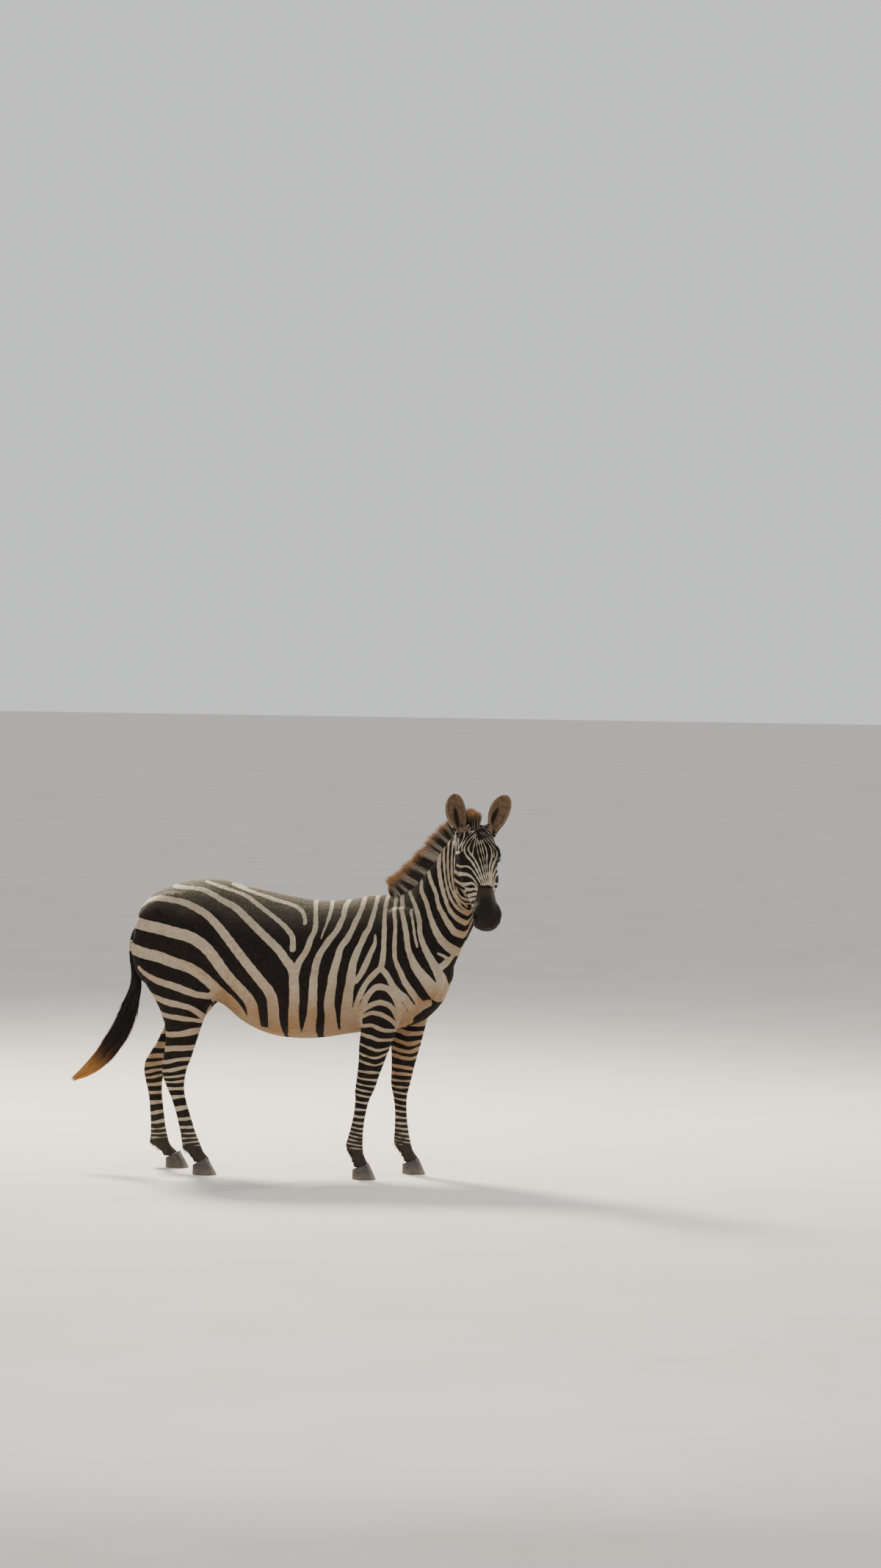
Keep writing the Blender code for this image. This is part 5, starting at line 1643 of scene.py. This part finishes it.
# strands: folded ribbons, three points to a row and one at the tip
def addStrands(name, lines, sides, lifts, widths, values, material):
    # lines: strands, rows + 1, 3; sides and lifts: strands, 3; widths: half width at each row
    count, rows = lines.shape[0], lines.shape[1] - 1
    points = np.empty((count, rows * 3 + 1, 3))
    for row in range(rows):
        half = widths[:, row, None]
        points[:, row * 3] = lines[:, row] - sides * half
        points[:, row * 3 + 1] = lines[:, row] + lifts * half * 0.7
        points[:, row * 3 + 2] = lines[:, row] + sides * half
    points[:, -1] = lines[:, -1]
    triangles = []
    for row in range(rows - 1):
        a = row * 3
        for left in (0, 1):
            p, q, r, s = a + left, a + left + 1, a + left + 4, a + left + 3
            triangles += [(p, q, r), (p, r, s)]
    a, tip = (rows - 1) * 3, rows * 3
    triangles += [(a, a + 1, tip), (a + 1, a + 2, tip)]
    pattern = np.array(triangles)
    starts = np.arange(count) * (rows * 3 + 1)
    faces = (starts[:, None, None] + pattern[None]).reshape(-1, 3)
    piece = newTriangles(name, points.reshape(-1, 3), faces)
    along = np.concatenate((np.repeat(np.arange(rows), 3), [rows])) / rows
    perStrand = rows * 3 + 1
    patch = np.zeros((perStrand, 2))
    patch[:-1, 0] = np.tile((-0.0015, 0.0, 0.0015), rows)
    patch[:, 1] = along * 0.003
    addPatches(piece, values["roots"], patch, faces)
    if "along" in values:
        rowed = values["along"]
        addFloat(piece, "along", np.hstack((np.repeat(rowed[:, :-1], 3, axis=1), rowed[:, -1:])).ravel())
    else:
        addFloat(piece, "along", np.tile(along, count))
    addFloat(piece, "tone", np.repeat(rng.random(count), perStrand))
    addFloat(piece, "marking", np.repeat(values["marking"], perStrand))
    addFinishAndPaintedLight(piece, np.repeat(values["finish"], perStrand, axis=0))
    piece.data.materials.append(material)
    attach(piece, root)
    print("  ", name, len(faces), "triangles")
    return piece


def bentLines(roots, directions, lengths, bends, rows):
    # a strand leaves along its direction and bends more and more towards its bend
    steps = np.linspace(0, 1, rows + 1)
    run = directions[:, None, :] * steps[None, :, None]
    run = run + bends[:, None, :] * (steps**2)[None, :, None]
    return roots[:, None, :] + run * lengths[:, None, None]


# coat: thin tufts that lie over the skin
coatLay = {
    "turn": 0.26,  # how far a tuft may turn from the lie, in radians
    "sink": 0.0004,  # depth of its root under the skin
    "bare": 0.93,  # share of the tufts that leather does without
}
coatSet = {
    # tufts, length, half width, height of the tip
    "head": (54000, 0.0062, 0.00062, 0.0014),
    "ear": (17000, 0.0065, 0.00060, 0.0011),
    "throat": (50000, 0.0064, 0.00068, 0.0018),
    "legs": (48000, 0.0090, 0.00085, 0.0020),
    "frontRight": (36000, 0.0140, 0.00130, 0.0036),
    "frontLeft": (36000, 0.0140, 0.00130, 0.0036),
    "backRight": (38000, 0.0150, 0.00140, 0.0038),
    "backLeft": (38000, 0.0150, 0.00140, 0.0038),
}


def coatRegion(points):
    # later lines win where two regions meet
    number = {name: i for i, name in enumerate(coatSet)}
    front = points[:, 0] > 0.15
    right = points[:, 1] < 0
    region = np.where(right, number["backRight"], number["backLeft"])
    region = np.where(front, np.where(right, number["frontRight"], number["frontLeft"]), region)
    for where, name in (
        ((headEdge(points) < 0.12) & (points[:, 2] > 1.0), "throat"), (points[:, 2] < 0.60, "legs"),
        (isHead(points), "head"), (isEar(points), "ear"),
    ):
        region = np.where(where, number[name], region)
    return region


def coatLie(points, normals):
    x, y, z = points.T
    u, d, w = headPlace(points)
    lie = np.tile((-0.90, 0.0, -0.42), (len(points), 1))

    def mix(direction, weight):
        weight = np.clip(weight, 0, 1)[:, None]
        lie[:] = lie * (1 - weight) + np.asarray(direction, float) * weight

    mix((-0.95, 0.0, 0.0), smooth(-normals[:, 2], 0.4, 0.9))
    mix((-0.45, 0.0, -0.90), smooth(-x, 0.48, 0.66))
    neck = smooth(x - (1.35 - z) * 0.30, 0.42, 0.60) * smooth(z, 1.00, 1.15)
    mix((-0.45, 0.10, -0.72), neck)
    mix((-0.10, 0.0, -0.95), smooth(x, 0.50, 0.66) * (1 - smooth(z, 0.98, 1.15)))
    mix((-0.12, 0.0, -1.0), 1 - smooth(z, 0.58, 0.80))
    spread = np.sign(y)[:, None] * np.array((0, 0.45, 0)) * smooth(normals[:, 2], 0.3, 0.9)[:, None]
    on = isHead(points)
    lie += np.where(on[:, None], 0, spread)
    down = smooth(u, 0.07, 0.12)[:, None]
    face = faceLine * down - faceLine * (1 - down) + leftLine * np.sign(w)[:, None] * 0.25 * (1 - down)
    cheek = smooth(d, 0.07, 0.13)[:, None] * (1 - smooth(u, 0.26, 0.34))[:, None]
    face = face * (1 - cheek) + (underLine * 0.75 + faceLine * 0.10) * cheek
    lie = np.where(on[:, None], face, lie)
    for side in (-1, 1):
        lie = np.where(onEar(points, side, -0.02, 1.06)[:, None], earAxes(side)[1], lie)
    lie = lie - normals * np.sum(lie * normals, axis=1, keepdims=True)
    return units(lie + 1e-6)


def skinTriangles():
    mesh = skin.data
    mesh.calc_loop_triangles()
    corners = np.empty(len(mesh.loop_triangles) * 3, dtype=np.int32)
    mesh.loop_triangles.foreach_get("vertices", corners)
    return corners.reshape(-1, 3)


def scatter(corners, weights, count):
    # places on the skin, as many for each measure of weighted area
    a, b, c = (skinPoints[corners[:, i]] for i in range(3))
    area = np.linalg.norm(np.cross(b - a, c - a), axis=1) * weights
    total = np.cumsum(area)
    pick = np.searchsorted(total, rng.random(count) * total[-1])
    r, s = rng.random(count), rng.random(count)
    fold = r + s > 1
    r, s = np.where(fold, 1 - r, r)[:, None], np.where(fold, 1 - s, s)[:, None]
    places = a[pick] + (b[pick] - a[pick]) * r + (c[pick] - a[pick]) * s
    na, nb, nc = (skinNormals[corners[pick, i]] for i in range(3))
    return places, units(na * (1 - r - s) + nb * r + nc * s)


def turned(directions, normals, angles):
    across = np.cross(normals, directions)
    return directions * np.cos(angles)[:, None] + across * np.sin(angles)[:, None]


def coatWeights(centres):
    # no tufts inside the eye slits and the hooves, few on bare leather
    keep = 1 - coatLay["bare"] * bareLeather(centres)
    slit = nearEye(centres) < eyeSet["radius"] * 0.93
    keep = np.where(slit & isHead(centres), 0, keep)
    keep = np.where((centres[:, 2] < 0.030) | ((centres[:, 2] < 0.60) & insideHoof(centres)), 0, keep)
    return keep


def growCoat():
    corners = skinTriangles()
    centres = skinPoints[corners].mean(axis=1)
    region = coatRegion(centres)
    weights = coatWeights(centres)
    for number, (name, (count, length, half, height)) in enumerate(coatSet.items()):
        chosen = region == number
        places, normals = scatter(corners[chosen], weights[chosen], count)
        leather = bareLeather(places)
        lie = turned(coatLie(places, normals), normals, rng.normal(0, coatLay["turn"], count))
        side = np.cross(normals, lie)
        size = rng.uniform(0.70, 1.15, count) * (1 - 0.55 * leather)
        if name == "head":
            d, w = headPlace(places)[1:]
            size *= 0.72 + 0.45 * smooth(np.maximum(d, 0) + np.abs(w), 0.08, 0.22)
        long = (length * size)[:, None]
        wide = (half * rng.uniform(0.75, 1.2, count))[:, None]
        high = (height * rng.uniform(0.55, 1.0, count) * (1 - 0.5 * leather))[:, None]
        points = np.stack((
            places - side * wide - normals * coatLay["sink"],
            places + side * wide - normals * coatLay["sink"],
            places + lie * long * 0.45 + normals * high * 0.85,
            places + lie * long + normals * high * 0.9,
        ), axis=1).reshape(-1, 3)
        starts = np.arange(count)[:, None, None] * 4
        faces = (starts + np.array(((0, 3, 2), (1, 2, 3), (1, 0, 2)))[None]).reshape(-1, 3)
        piece = newTriangles(f"coat_{name}", points, faces)
        outward = np.repeat(normals, 4, axis=0)
        lean = np.stack((-side * 0.35, side * 0.35, lie * 0.05, lie * 0.10), axis=1).reshape(-1, 3)
        piece.data.normals_split_custom_set_from_vertices(units(outward + lean).tolist())
        patch = np.array(((-0.0015, 0), (0.0015, 0), (0, 0.0015), (0, 0.003)))
        addPatches(piece, places, patch, faces)
        addFloat(piece, "marking", marking(points, outward))
        addFinishAndPaintedLight(piece, np.repeat(finishMasks(places, normals), 4, axis=0))
        addFloat(piece, "tone", np.repeat(rng.random(count), 4))
        addFloat(piece, "along", np.tile((0.0, 0.0, 0.5, 1.0), count))
        piece.data.materials.append(coatHair)
        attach(piece, root)
        print("  ", piece.name, len(faces), "triangles")


# mane
maneSet = {
    "strands": 12500, "rows": 4, "half": 0.00082, "rootSpread": 0.0165, "sink": 0.004,
    "taper": (1.0, 1.05, 0.9, 0.6, 0.0),
    "back": 0.22,  # how far the hair leans back, fading towards the poll
    "locks": 9, "lockLean": (0.045, 0.06),  # locks to each knot, and their lean across and along
    # crest x and height, sideways place, hair height
    "line": [
        (0.462, 1.285, 0.000, 0.055), (0.505, 1.288, 0.000, 0.112), (0.560, 1.325, 0.000, 0.122),
        (0.613, 1.388, -0.003, 0.118), (0.664, 1.458, -0.012, 0.112), (0.717, 1.532, -0.035, 0.106),
        (0.775, 1.592, -0.072, 0.098), (0.826, 1.625, -0.122, 0.090), (0.856, 1.634, -0.158, 0.086),
    ],
}


def maneFrame(places):
    line = maneSet["line"]
    knots = list(range(len(line)))
    values = spline(knots, line, places)
    before = spline(knots, line, np.clip(places - 0.05, 0, knots[-1]))
    after = spline(knots, line, np.clip(places + 0.05, 0, knots[-1]))
    roots = values[:, [0, 2, 1]]
    runs = units(after[:, [0, 2, 1]] - before[:, [0, 2, 1]])
    across = units(np.cross(runs, np.tile(upward, (len(places), 1))))
    rise = units(np.cross(across, runs))
    lean = units(rise - runs * maneSet["back"] * (1 - places / knots[-1])[:, None])
    return roots, runs, across, lean, values[:, 3]


def growMane():
    m = maneSet
    count = m["strands"]
    places = np.sort(rng.random(count)) * (len(m["line"]) - 1)
    roots, runs, across, lean, high = maneFrame(places)
    apart = np.clip(rng.normal(0, 0.5, count), -1, 1)
    # strands gather in locks that share a lean
    lock = (places * m["locks"] + apart * 2).astype(int)
    lockLean = rng.normal(0, 1, (lock.max() - lock.min() + 1, 2))[lock - lock.min()]
    roots = roots + across * (apart * m["rootSpread"])[:, None] - lean * m["sink"]
    aside, along = m["lockLean"]
    direction = lean + across * (apart * 0.035 + rng.normal(0, 0.05, count) + lockLean[:, 0] * aside)[:, None]
    direction += runs * (rng.normal(0, 0.08, count) + lockLean[:, 1] * along)[:, None]
    direction = units(direction)
    length = (high + m["sink"]) * (1.04 - 0.34 * rng.random(count) ** 1.4) * (1 - 0.10 * np.abs(apart))
    length *= 1 + 0.035 * lockLean[:, 1]
    bend = -runs * 0.10 + across * rng.normal(0, 0.04, (count, 1)) + rng.normal(0, 0.03, (count, 3))
    lines = bentLines(roots, direction, length, bend, m["rows"])
    side = units(np.cross(direction, across) + rng.normal(0, 0.35, (count, 3)))
    lift = units(np.cross(side, direction))
    widths = m["half"] * rng.uniform(0.7, 1.3, (count, 1)) * np.array(m["taper"])[None]
    sideways = across * np.sign(apart)[:, None]
    skinward = roots - lean * 0.02 + sideways * 0.02
    values = {
        "roots": roots, "marking": marking(skinward, sideways) + rng.normal(0, 0.0015, count),
        "finish": np.zeros((count, 4)),
    }
    mane = addStrands("maneHair", lines, side, lift, widths, values, maneMaterial)
    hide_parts("mane")


# forelock
forelockSet = {
    "strands": 3600, "rows": 4, "half": 0.00066, "top": 1.708, "taper": (1.0, 1.0, 0.85, 0.55, 0.0),
    "wide": 0.021, "aside": 0.007,  # half width of the patch that it grows from, and its shift
}


def growForelock():
    f = forelockSet
    count = f["strands"]
    # rooted on the skin between the ears
    u, d, w = headPlace(skinPoints)
    apart = np.hypot((u + 0.006) / 0.040, (w + f["aside"]) / f["wide"])
    chosen = np.nonzero(isHead(skinPoints) & (apart < 1) & (d < 0.08))[0]
    pick = rng.choice(chosen, count)
    roots = skinPoints[pick] + rng.normal(0, 0.0015, (count, 3)) - skinNormals[pick] * 0.002
    side = (w[pick] + f["aside"]) / f["wide"]
    direction = upward + forward * 0.05 + leftLine * (side * 0.14 - 0.03)[:, None]
    direction = units(direction + rng.normal(0, 0.07, (count, 3)))
    length = (f["top"] - roots[:, 2]) * (1.03 - 0.42 * rng.random(count) ** 1.3) * (1 - 0.22 * side**2)
    bend = forward * rng.normal(0.02, 0.06, (count, 1)) + leftLine * rng.normal(0, 0.06, (count, 1))
    lines = bentLines(roots, direction, length, bend, f["rows"])
    side = units(np.cross(direction, rng.normal(0, 1, (count, 3))))
    lift = units(np.cross(side, direction))
    widths = f["half"] * rng.uniform(0.7, 1.3, (count, 1)) * np.array(f["taper"])[None]
    values = {"roots": roots, "marking": rng.normal(0.004, 0.003, count), "finish": np.zeros((count, 4))}
    lock = addStrands("forelockHair", lines, side, lift, widths, values, maneMaterial)
    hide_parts("forelock")


# tail tuft
tailSet = {
    "strands": 5600, "rows": 8, "half": 0.0012, "rootFrom": 1.02, "rootTo": 0.79, "wave": 0.004,
    "taper": (0.7, 1.0, 1.0, 1.0, 0.9, 0.8, 0.6, 0.35, 0.0),
}


def growTail():
    t = tailSet
    count, rows = t["strands"], t["rows"]
    line = np.array(tailLine)
    along = runLengths(line)
    total = along[-1]
    rootFrom, rootTo = np.interp((-t["rootFrom"], -t["rootTo"]), -line[:, 2], along)
    start = rootFrom + (rootTo - rootFrom) * rng.random(count) ** 0.65
    end = total * (1 - 0.50 * rng.random(count) ** 1.9)
    steps = np.linspace(0, 1, rows + 1)
    where = start[:, None] + (end - start)[:, None] * steps[None]
    angle = rng.random(count) * 2 * math.pi
    reach = 0.35 + 0.65 * np.sqrt(rng.random(count))
    flat = where.ravel()
    middle = spline(along.tolist(), line.tolist(), flat)
    ahead = spline(along.tolist(), line.tolist(), np.clip(flat + 0.01, 0, total))
    behind = spline(along.tolist(), line.tolist(), np.clip(flat - 0.01, 0, total))
    run = units(ahead[:, :3] - behind[:, :3])
    across = units(np.cross(run, np.tile((0.0, 1.0, 0.0), (len(flat), 1))))
    turn = np.repeat(angle, rows + 1)
    # a strand starts on the dock and spreads to its own place in the tuft
    spread = np.tile(0.80 + 0.45 * steps**2, count) * np.repeat(reach, rows + 1)
    first = np.tile(np.clip(1 - steps * 4, 0, 1), count)
    spread = spread * (1 - first) + 0.95 * first
    offset = across * (np.cos(turn) * spread * middle[:, 3] * 0.92)[:, None]
    sideward = np.array((0, 1.0, 0))
    offset += sideward * (np.sin(turn) * spread * middle[:, 4] * 0.92)[:, None]
    phase = np.repeat(rng.random(count) * 7, rows + 1)
    sway = np.sin(flat * 26 + phase) * t["wave"] * np.tile(steps, count)
    swing = np.cos(flat * 21 + phase * 1.7) * t["wave"] * np.tile(steps, count)
    offset += across * sway[:, None] + sideward * swing[:, None]
    lines = (middle[:, :3] + offset).reshape(count, rows + 1, 3)
    overall = units(lines[:, -1] - lines[:, 0])
    side = units(np.cross(overall, rng.normal(0, 1, (count, 3))))
    lift = units(np.cross(side, overall))
    widths = t["half"] * rng.uniform(0.6, 1.3, (count, 1)) * np.array(t["taper"])[None]
    values = {
        "roots": lines[:, 0], "marking": np.full(count, 0.02), "finish": np.zeros((count, 4)),
        "along": where / total,
    }
    tail = addStrands("tailHair", lines, side, lift, widths, values, tailMaterial)
    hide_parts("tail_tuft")


# small hair: ear fringe, lashes, whiskers, fetlocks
smallHair = {
    # strands, half width, shortest and longest
    "earFringe": (1500, 0.00030, 0.004, 0.009),
    "lashes": (90, 0.00028, 0.006, 0.013),
    "whiskers": (110, 0.00016, 0.010, 0.026),
    "fetlocks": (1700, 0.00045, 0.007, 0.015),
}


def shortStrands(name, roots, directions, lengths, bends, half, marks, material, rows=2, finish=None):
    count = len(roots)
    lines = bentLines(roots, directions, lengths, bends, rows)
    side = units(np.cross(directions, rng.normal(0, 1, (count, 3))))
    lift = units(np.cross(side, directions))
    taper = np.append(np.linspace(1.0, 0.55, rows), 0.0)
    widths = half * rng.uniform(0.75, 1.2, (count, 1)) * taper[None]
    finish = np.zeros((count, 4)) if finish is None else finish
    values = {"roots": roots, "marking": marks, "finish": finish}
    addStrands(name, lines, side, lift, widths, values, material)


def growEarFringe():
    count, half, shortest, longest = smallHair["earFringe"]
    for side, name in ((-1, "earFringeRight"), (1, "earFringeLeft")):
        base, axis, opening = earAxes(side)[:3]
        sheet = earSheet(side, 40, 21)
        rim = rng.integers(0, 2, count)
        row = rng.uniform(5, 38, count)
        i = row.astype(int)
        f = (row - i)[:, None]
        edge = np.where(rim[:, None] == 0, sheet[i, 0, 1], sheet[i, -1, 1]) * (1 - f)
        edge += np.where(rim[:, None] == 0, sheet[i + 1, 0, 1], sheet[i + 1, -1, 1]) * f
        inward = units(base + axis * ((edge - base) @ axis)[:, None] - edge)
        roots = edge + inward * rng.uniform(-0.001, 0.006, (count, 1)) - opening * 0.002
        direction = units(axis * 0.75 + inward * 0.55 + opening * rng.normal(0.18, 0.12, (count, 1))
                          + rng.normal(0, 0.12, (count, 3)))
        bend = axis * 0.2 + inward * 0.15
        length = rng.uniform(shortest, longest, count)
        brownShare = np.tile((0.0, 0.0, 0.8, 0.0), (count, 1))
        bend = bend + np.zeros((count, 3))
        marks = np.full(count, -0.01)
        shortStrands(name, roots, direction, length, bend, half, marks, coatHair, finish=brownShare)


def growLashes():
    count, half, lowerLong, upperLong = smallHair["lashes"]
    for side, name in ((-1, "lashesRight"), (1, "lashesLeft")):
        out, slit, rise = lidAxes(side)
        a = rng.uniform(-0.9, 0.9, count) * lid["half"]
        high, low = lidEdge(a)
        lower = rng.random(count) < 0.25
        b = np.where(lower, low, high + 0.0008)
        centre = inHead(eyeSet["u"], eyeSet["d"], side * eyeSet["w"])
        o = np.sqrt(np.maximum(eyeSet["radius"] ** 2 - a**2 - b**2, 0)) + 0.0012
        roots = centre + out * o[:, None] + slit * a[:, None] + rise * b[:, None]
        up = np.where(lower, -0.5, 0.10)[:, None]
        direction = units(out * 0.9 + rise * up + slit * (a / lid["half"] * 0.5)[:, None]
                          + rng.normal(0, 0.08, (count, 3)))
        bend = -rise * 0.25 + np.zeros((count, 3))
        length = np.where(lower, lowerLong, upperLong) * rng.uniform(0.8, 1.15, count)
        shortStrands(name, roots, direction, length, bend, half, np.full(count, 0.02), coatHair, 3)


def growWhiskers():
    count, half, shortest, longest = smallHair["whiskers"]
    u, d = headPlace(skinPoints)[:2]
    muzzle = isHead(skinPoints) & (u > 0.43) & (d > 0.045)
    pick = rng.choice(np.nonzero(muzzle)[0], count, replace=False)
    roots, normals = skinPoints[pick] - skinNormals[pick] * 0.0005, skinNormals[pick]
    direction = units(normals + underLine * 0.35 + rng.normal(0, 0.15, (count, 3)))
    bend = np.tile(-upward * 0.30, (count, 1))
    length = rng.uniform(shortest, longest, count)
    marks = rng.normal(0.01, 0.01, count)
    shortStrands("whiskers", roots, direction, length, bend, half, marks, coatHair, 3)


def growFetlocks():
    count, half, shortest, longest = smallHair["fetlocks"]
    z = skinPoints[:, 2]
    behind = np.zeros(len(z), bool)
    for name in legs:
        near, middle = legPlace(skinPoints, name)
        behind |= near & (skinPoints[:, 0] < middle[:, 0] - 0.012) & (skinNormals[:, 0] < -0.35)
    behind &= (z > 0.085) & (z < 0.150)
    pick = rng.choice(np.nonzero(behind)[0], count)
    normals = skinNormals[pick]
    roots = skinPoints[pick] + rng.normal(0, 0.001, (count, 3)) - normals * 0.0008
    direction = units(normals * 0.30 - upward + rng.normal(0, 0.10, (count, 3)))
    bend = normals * 0.10 - upward * 0.2
    length = rng.uniform(shortest, longest, count)
    marks = marking(roots, normals)
    shortStrands("fetlockHair", roots, direction, length, bend, half, marks, coatHair, 3)


# eyes
def buildEyes():
    for side, name in ((-1, "eyeRight"), (1, "eyeLeft")):
        out, slit, rise = lidAxes(side)
        centre = inHead(eyeSet["u"], eyeSet["d"], side * eyeSet["w"])
        radius = eyeSet["radius"] - 0.0004
        eye = ball(name, centre, (radius, radius, radius), (slit, rise, out), 72, 48)
        smoothFaces(eye)
        local = (pointsOf(eye) - centre) / radius
        addFloat(eye, "gazeAlong", local @ slit)
        addFloat(eye, "gazeUp", local @ rise)
        eye.data.materials.append(eyeMaterial)
        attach(eye, root)
        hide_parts("eye_right" if side < 0 else "eye_left")


# hooves
hoofSet = {
    # half width at the ground and at the crown, height in front, set-back of the crown
    "fore": (0.046, 0.038, 0.074, 0.034), "hind": (0.042, 0.0355, 0.080, 0.045),
    "back": 0.044, "rows": 40, "around": 72, "rings": 7.5, "ridge": 0.010,
    "worn": 0.030, "coronet": 0.020,  # rounding at the ground, and swelling under the hair
}


def hoofPlanes(name):
    heel, toe = legs[name]["hoof"]
    y = legs[name]["joints"][4][1]
    ground, crown, high, setBack = hoofSet[name[:4]]
    front = np.array((toe - setBack, y, high))
    back = np.array((heel + 0.001, y, hoofSet["back"]))
    return front, back, np.array((toe, y, 0.0)), np.array((heel, y, 0.0)), crown, ground


def insideHoof(points):
    inside = np.zeros(len(points), bool)
    for name in legs:
        front, back = hoofPlanes(name)[:2]
        near = legPlace(points, name)[0]
        normal = unit(np.cross(front - back, (0, 1, 0)))
        if normal[2] < 0:
            normal = -normal
        inside |= near & ((points - back) @ normal < -0.003)
    return inside


def buildHooves():
    h = hoofSet
    for name in legs:
        front, back, toe, heel, crown, ground = hoofPlanes(name)
        rows = []
        stations = np.linspace(0, 1, h["rows"])
        for place in stations:
            top = front + (toe - front) * place
            bottom = back + (heel - back) * place
            middle = (top + bottom) / 2
            ridges = h["ridge"] * math.sin(place * h["rings"] * 2 * math.pi) * (1 - place) ** 0.4
            edge = -h["worn"] * float(smooth(np.array([place]), 0.965, 1.0)[0])
            band = h["coronet"] * math.exp(-((place - 0.05) / 0.05) ** 2)
            band -= h["coronet"] * math.exp(-(place / 0.02) ** 2)
            size = 1 + ridges * 0.6 + edge + band
            width = (crown + (ground - crown) * place) * size
            rows.append((*(middle + (top - middle) * size), *(middle + (bottom - middle) * size),
                         0, 1, 0, width, 0.44, 2.15))
        hoof = loft(f"hoofHorn_{name}", stations.tolist(), rows, h["rows"], h["around"])
        smoothFaces(hoof)
        hoof.data.materials.append(hoofMaterial)
        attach(hoof, root)
        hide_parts(f"hoof_{name}")


skinPoints = pointsOf(skin)
skinNormals = normalsOf(skin)
print("eyes and hooves")
buildEyes()
buildHooves()
print("growing the coat")
growCoat()
print("growing the long hair")
growMane()
growForelock()
growTail()
growEarFringe()
growLashes()
growWhiskers()
growFetlocks()


# floor, light and camera
stage = {
    "floor": 90.0, "floorColour": (0.66, 0.63, 0.59), "floorMottle": (0.61, 0.575, 0.53),
    "sky": (0.93, 0.935, 0.94), "skyStrength": 0.88,
    # place, aim, size, power in watts, colour
    "lamps": {
        "keyLight": ((-2.4, 3.4, 5.6), (0.1, 0.0, 0.9), 1.6, 1350.0, (1.0, 0.90, 0.76)),
        "fillLight": ((1.5, -7.0, 3.4), (0.0, 0.0, 0.9), 5.0, 160.0, (1.0, 0.96, 0.90)),
        "rimLight": ((4.2, 3.6, 3.6), (0.4, 0.0, 1.0), 1.6, 260.0, (1.0, 0.92, 0.80)),
    },
}


def buildFloor():
    bm = bmesh.new()
    bmesh.ops.create_grid(bm, x_segments=2, y_segments=2, size=stage["floor"])
    floor = newObject("floor", meshFrom(bm, "floor"))
    material, tree, shader = newMaterial("paleFloor")
    mottle = noiseNode(tree, 1.3, 4.0, 0.6, placeVector(tree))
    colour = mixColour(tree, rangeNode(tree, mottle, 0.3, 0.8), stage["floorColour"], stage["floorMottle"])
    wire(tree, colour, shader.inputs["Base Color"])
    shader.inputs["Roughness"].default_value = 0.85
    floor.data.materials.append(material)


def addLamp(name, place, aim, size, power, colour):
    lamp = bpy.data.lights.new(name, "AREA")
    lamp.shape = "DISK"
    lamp.size = size
    lamp.energy = power
    lamp.color = colour
    holder = bpy.data.objects.new(name, lamp)
    holder.location = place
    holder.rotation_euler = (Vector(aim) - Vector(place)).to_track_quat("-Z", "Y").to_euler()
    bpy.context.scene.collection.objects.link(holder)


def buildLight():
    world = bpy.data.worlds.new("studio")
    world.use_nodes = True
    sky = world.node_tree.nodes["Background"]
    sky.inputs["Color"].default_value = (*stage["sky"], 1.0)
    sky.inputs["Strength"].default_value = stage["skyStrength"]
    bpy.context.scene.world = world
    for name, values in stage["lamps"].items():
        addLamp(name, *values)


cameraSet = {
    "distance": 21.43, "azimuth": 7.0, "rise": -2.16, "roll": 0.75,
    "lens": 106.23, "frameHeight": 36.0,
    # from the middle of the view to the foot of the animal, at its distance
    "aside": -0.6973, "below": -1.8042,
}


def buildCamera():
    c = cameraSet
    azimuth, rise, roll = (math.radians(c[k]) for k in ("azimuth", "rise", "roll"))
    ahead = Vector((-math.sin(azimuth) * math.cos(rise), math.cos(azimuth) * math.cos(rise), math.sin(rise)))
    right = Vector((math.cos(azimuth), math.sin(azimuth), 0))
    above = right.cross(ahead)
    right, above = (
        right * math.cos(roll) + above * math.sin(roll),
        above * math.cos(roll) - right * math.sin(roll),
    )
    foot = Vector(shift)
    foot.z = 0.0
    data = bpy.data.cameras.new("camera")
    data.sensor_fit = "VERTICAL"
    data.sensor_height = c["frameHeight"]
    data.lens = c["lens"]
    data.clip_end = 200.0
    camera = bpy.data.objects.new("camera", data)
    turned = Matrix((right, above, -ahead)).transposed().to_4x4()
    turned.translation = foot - ahead * c["distance"] - right * c["aside"] - above * c["below"]
    camera.matrix_world = turned
    bpy.context.scene.collection.objects.link(camera)
    bpy.context.scene.camera = camera


print("floor, light and camera")
buildFloor()
buildLight()
buildCamera()

bpy.context.view_layer.update()
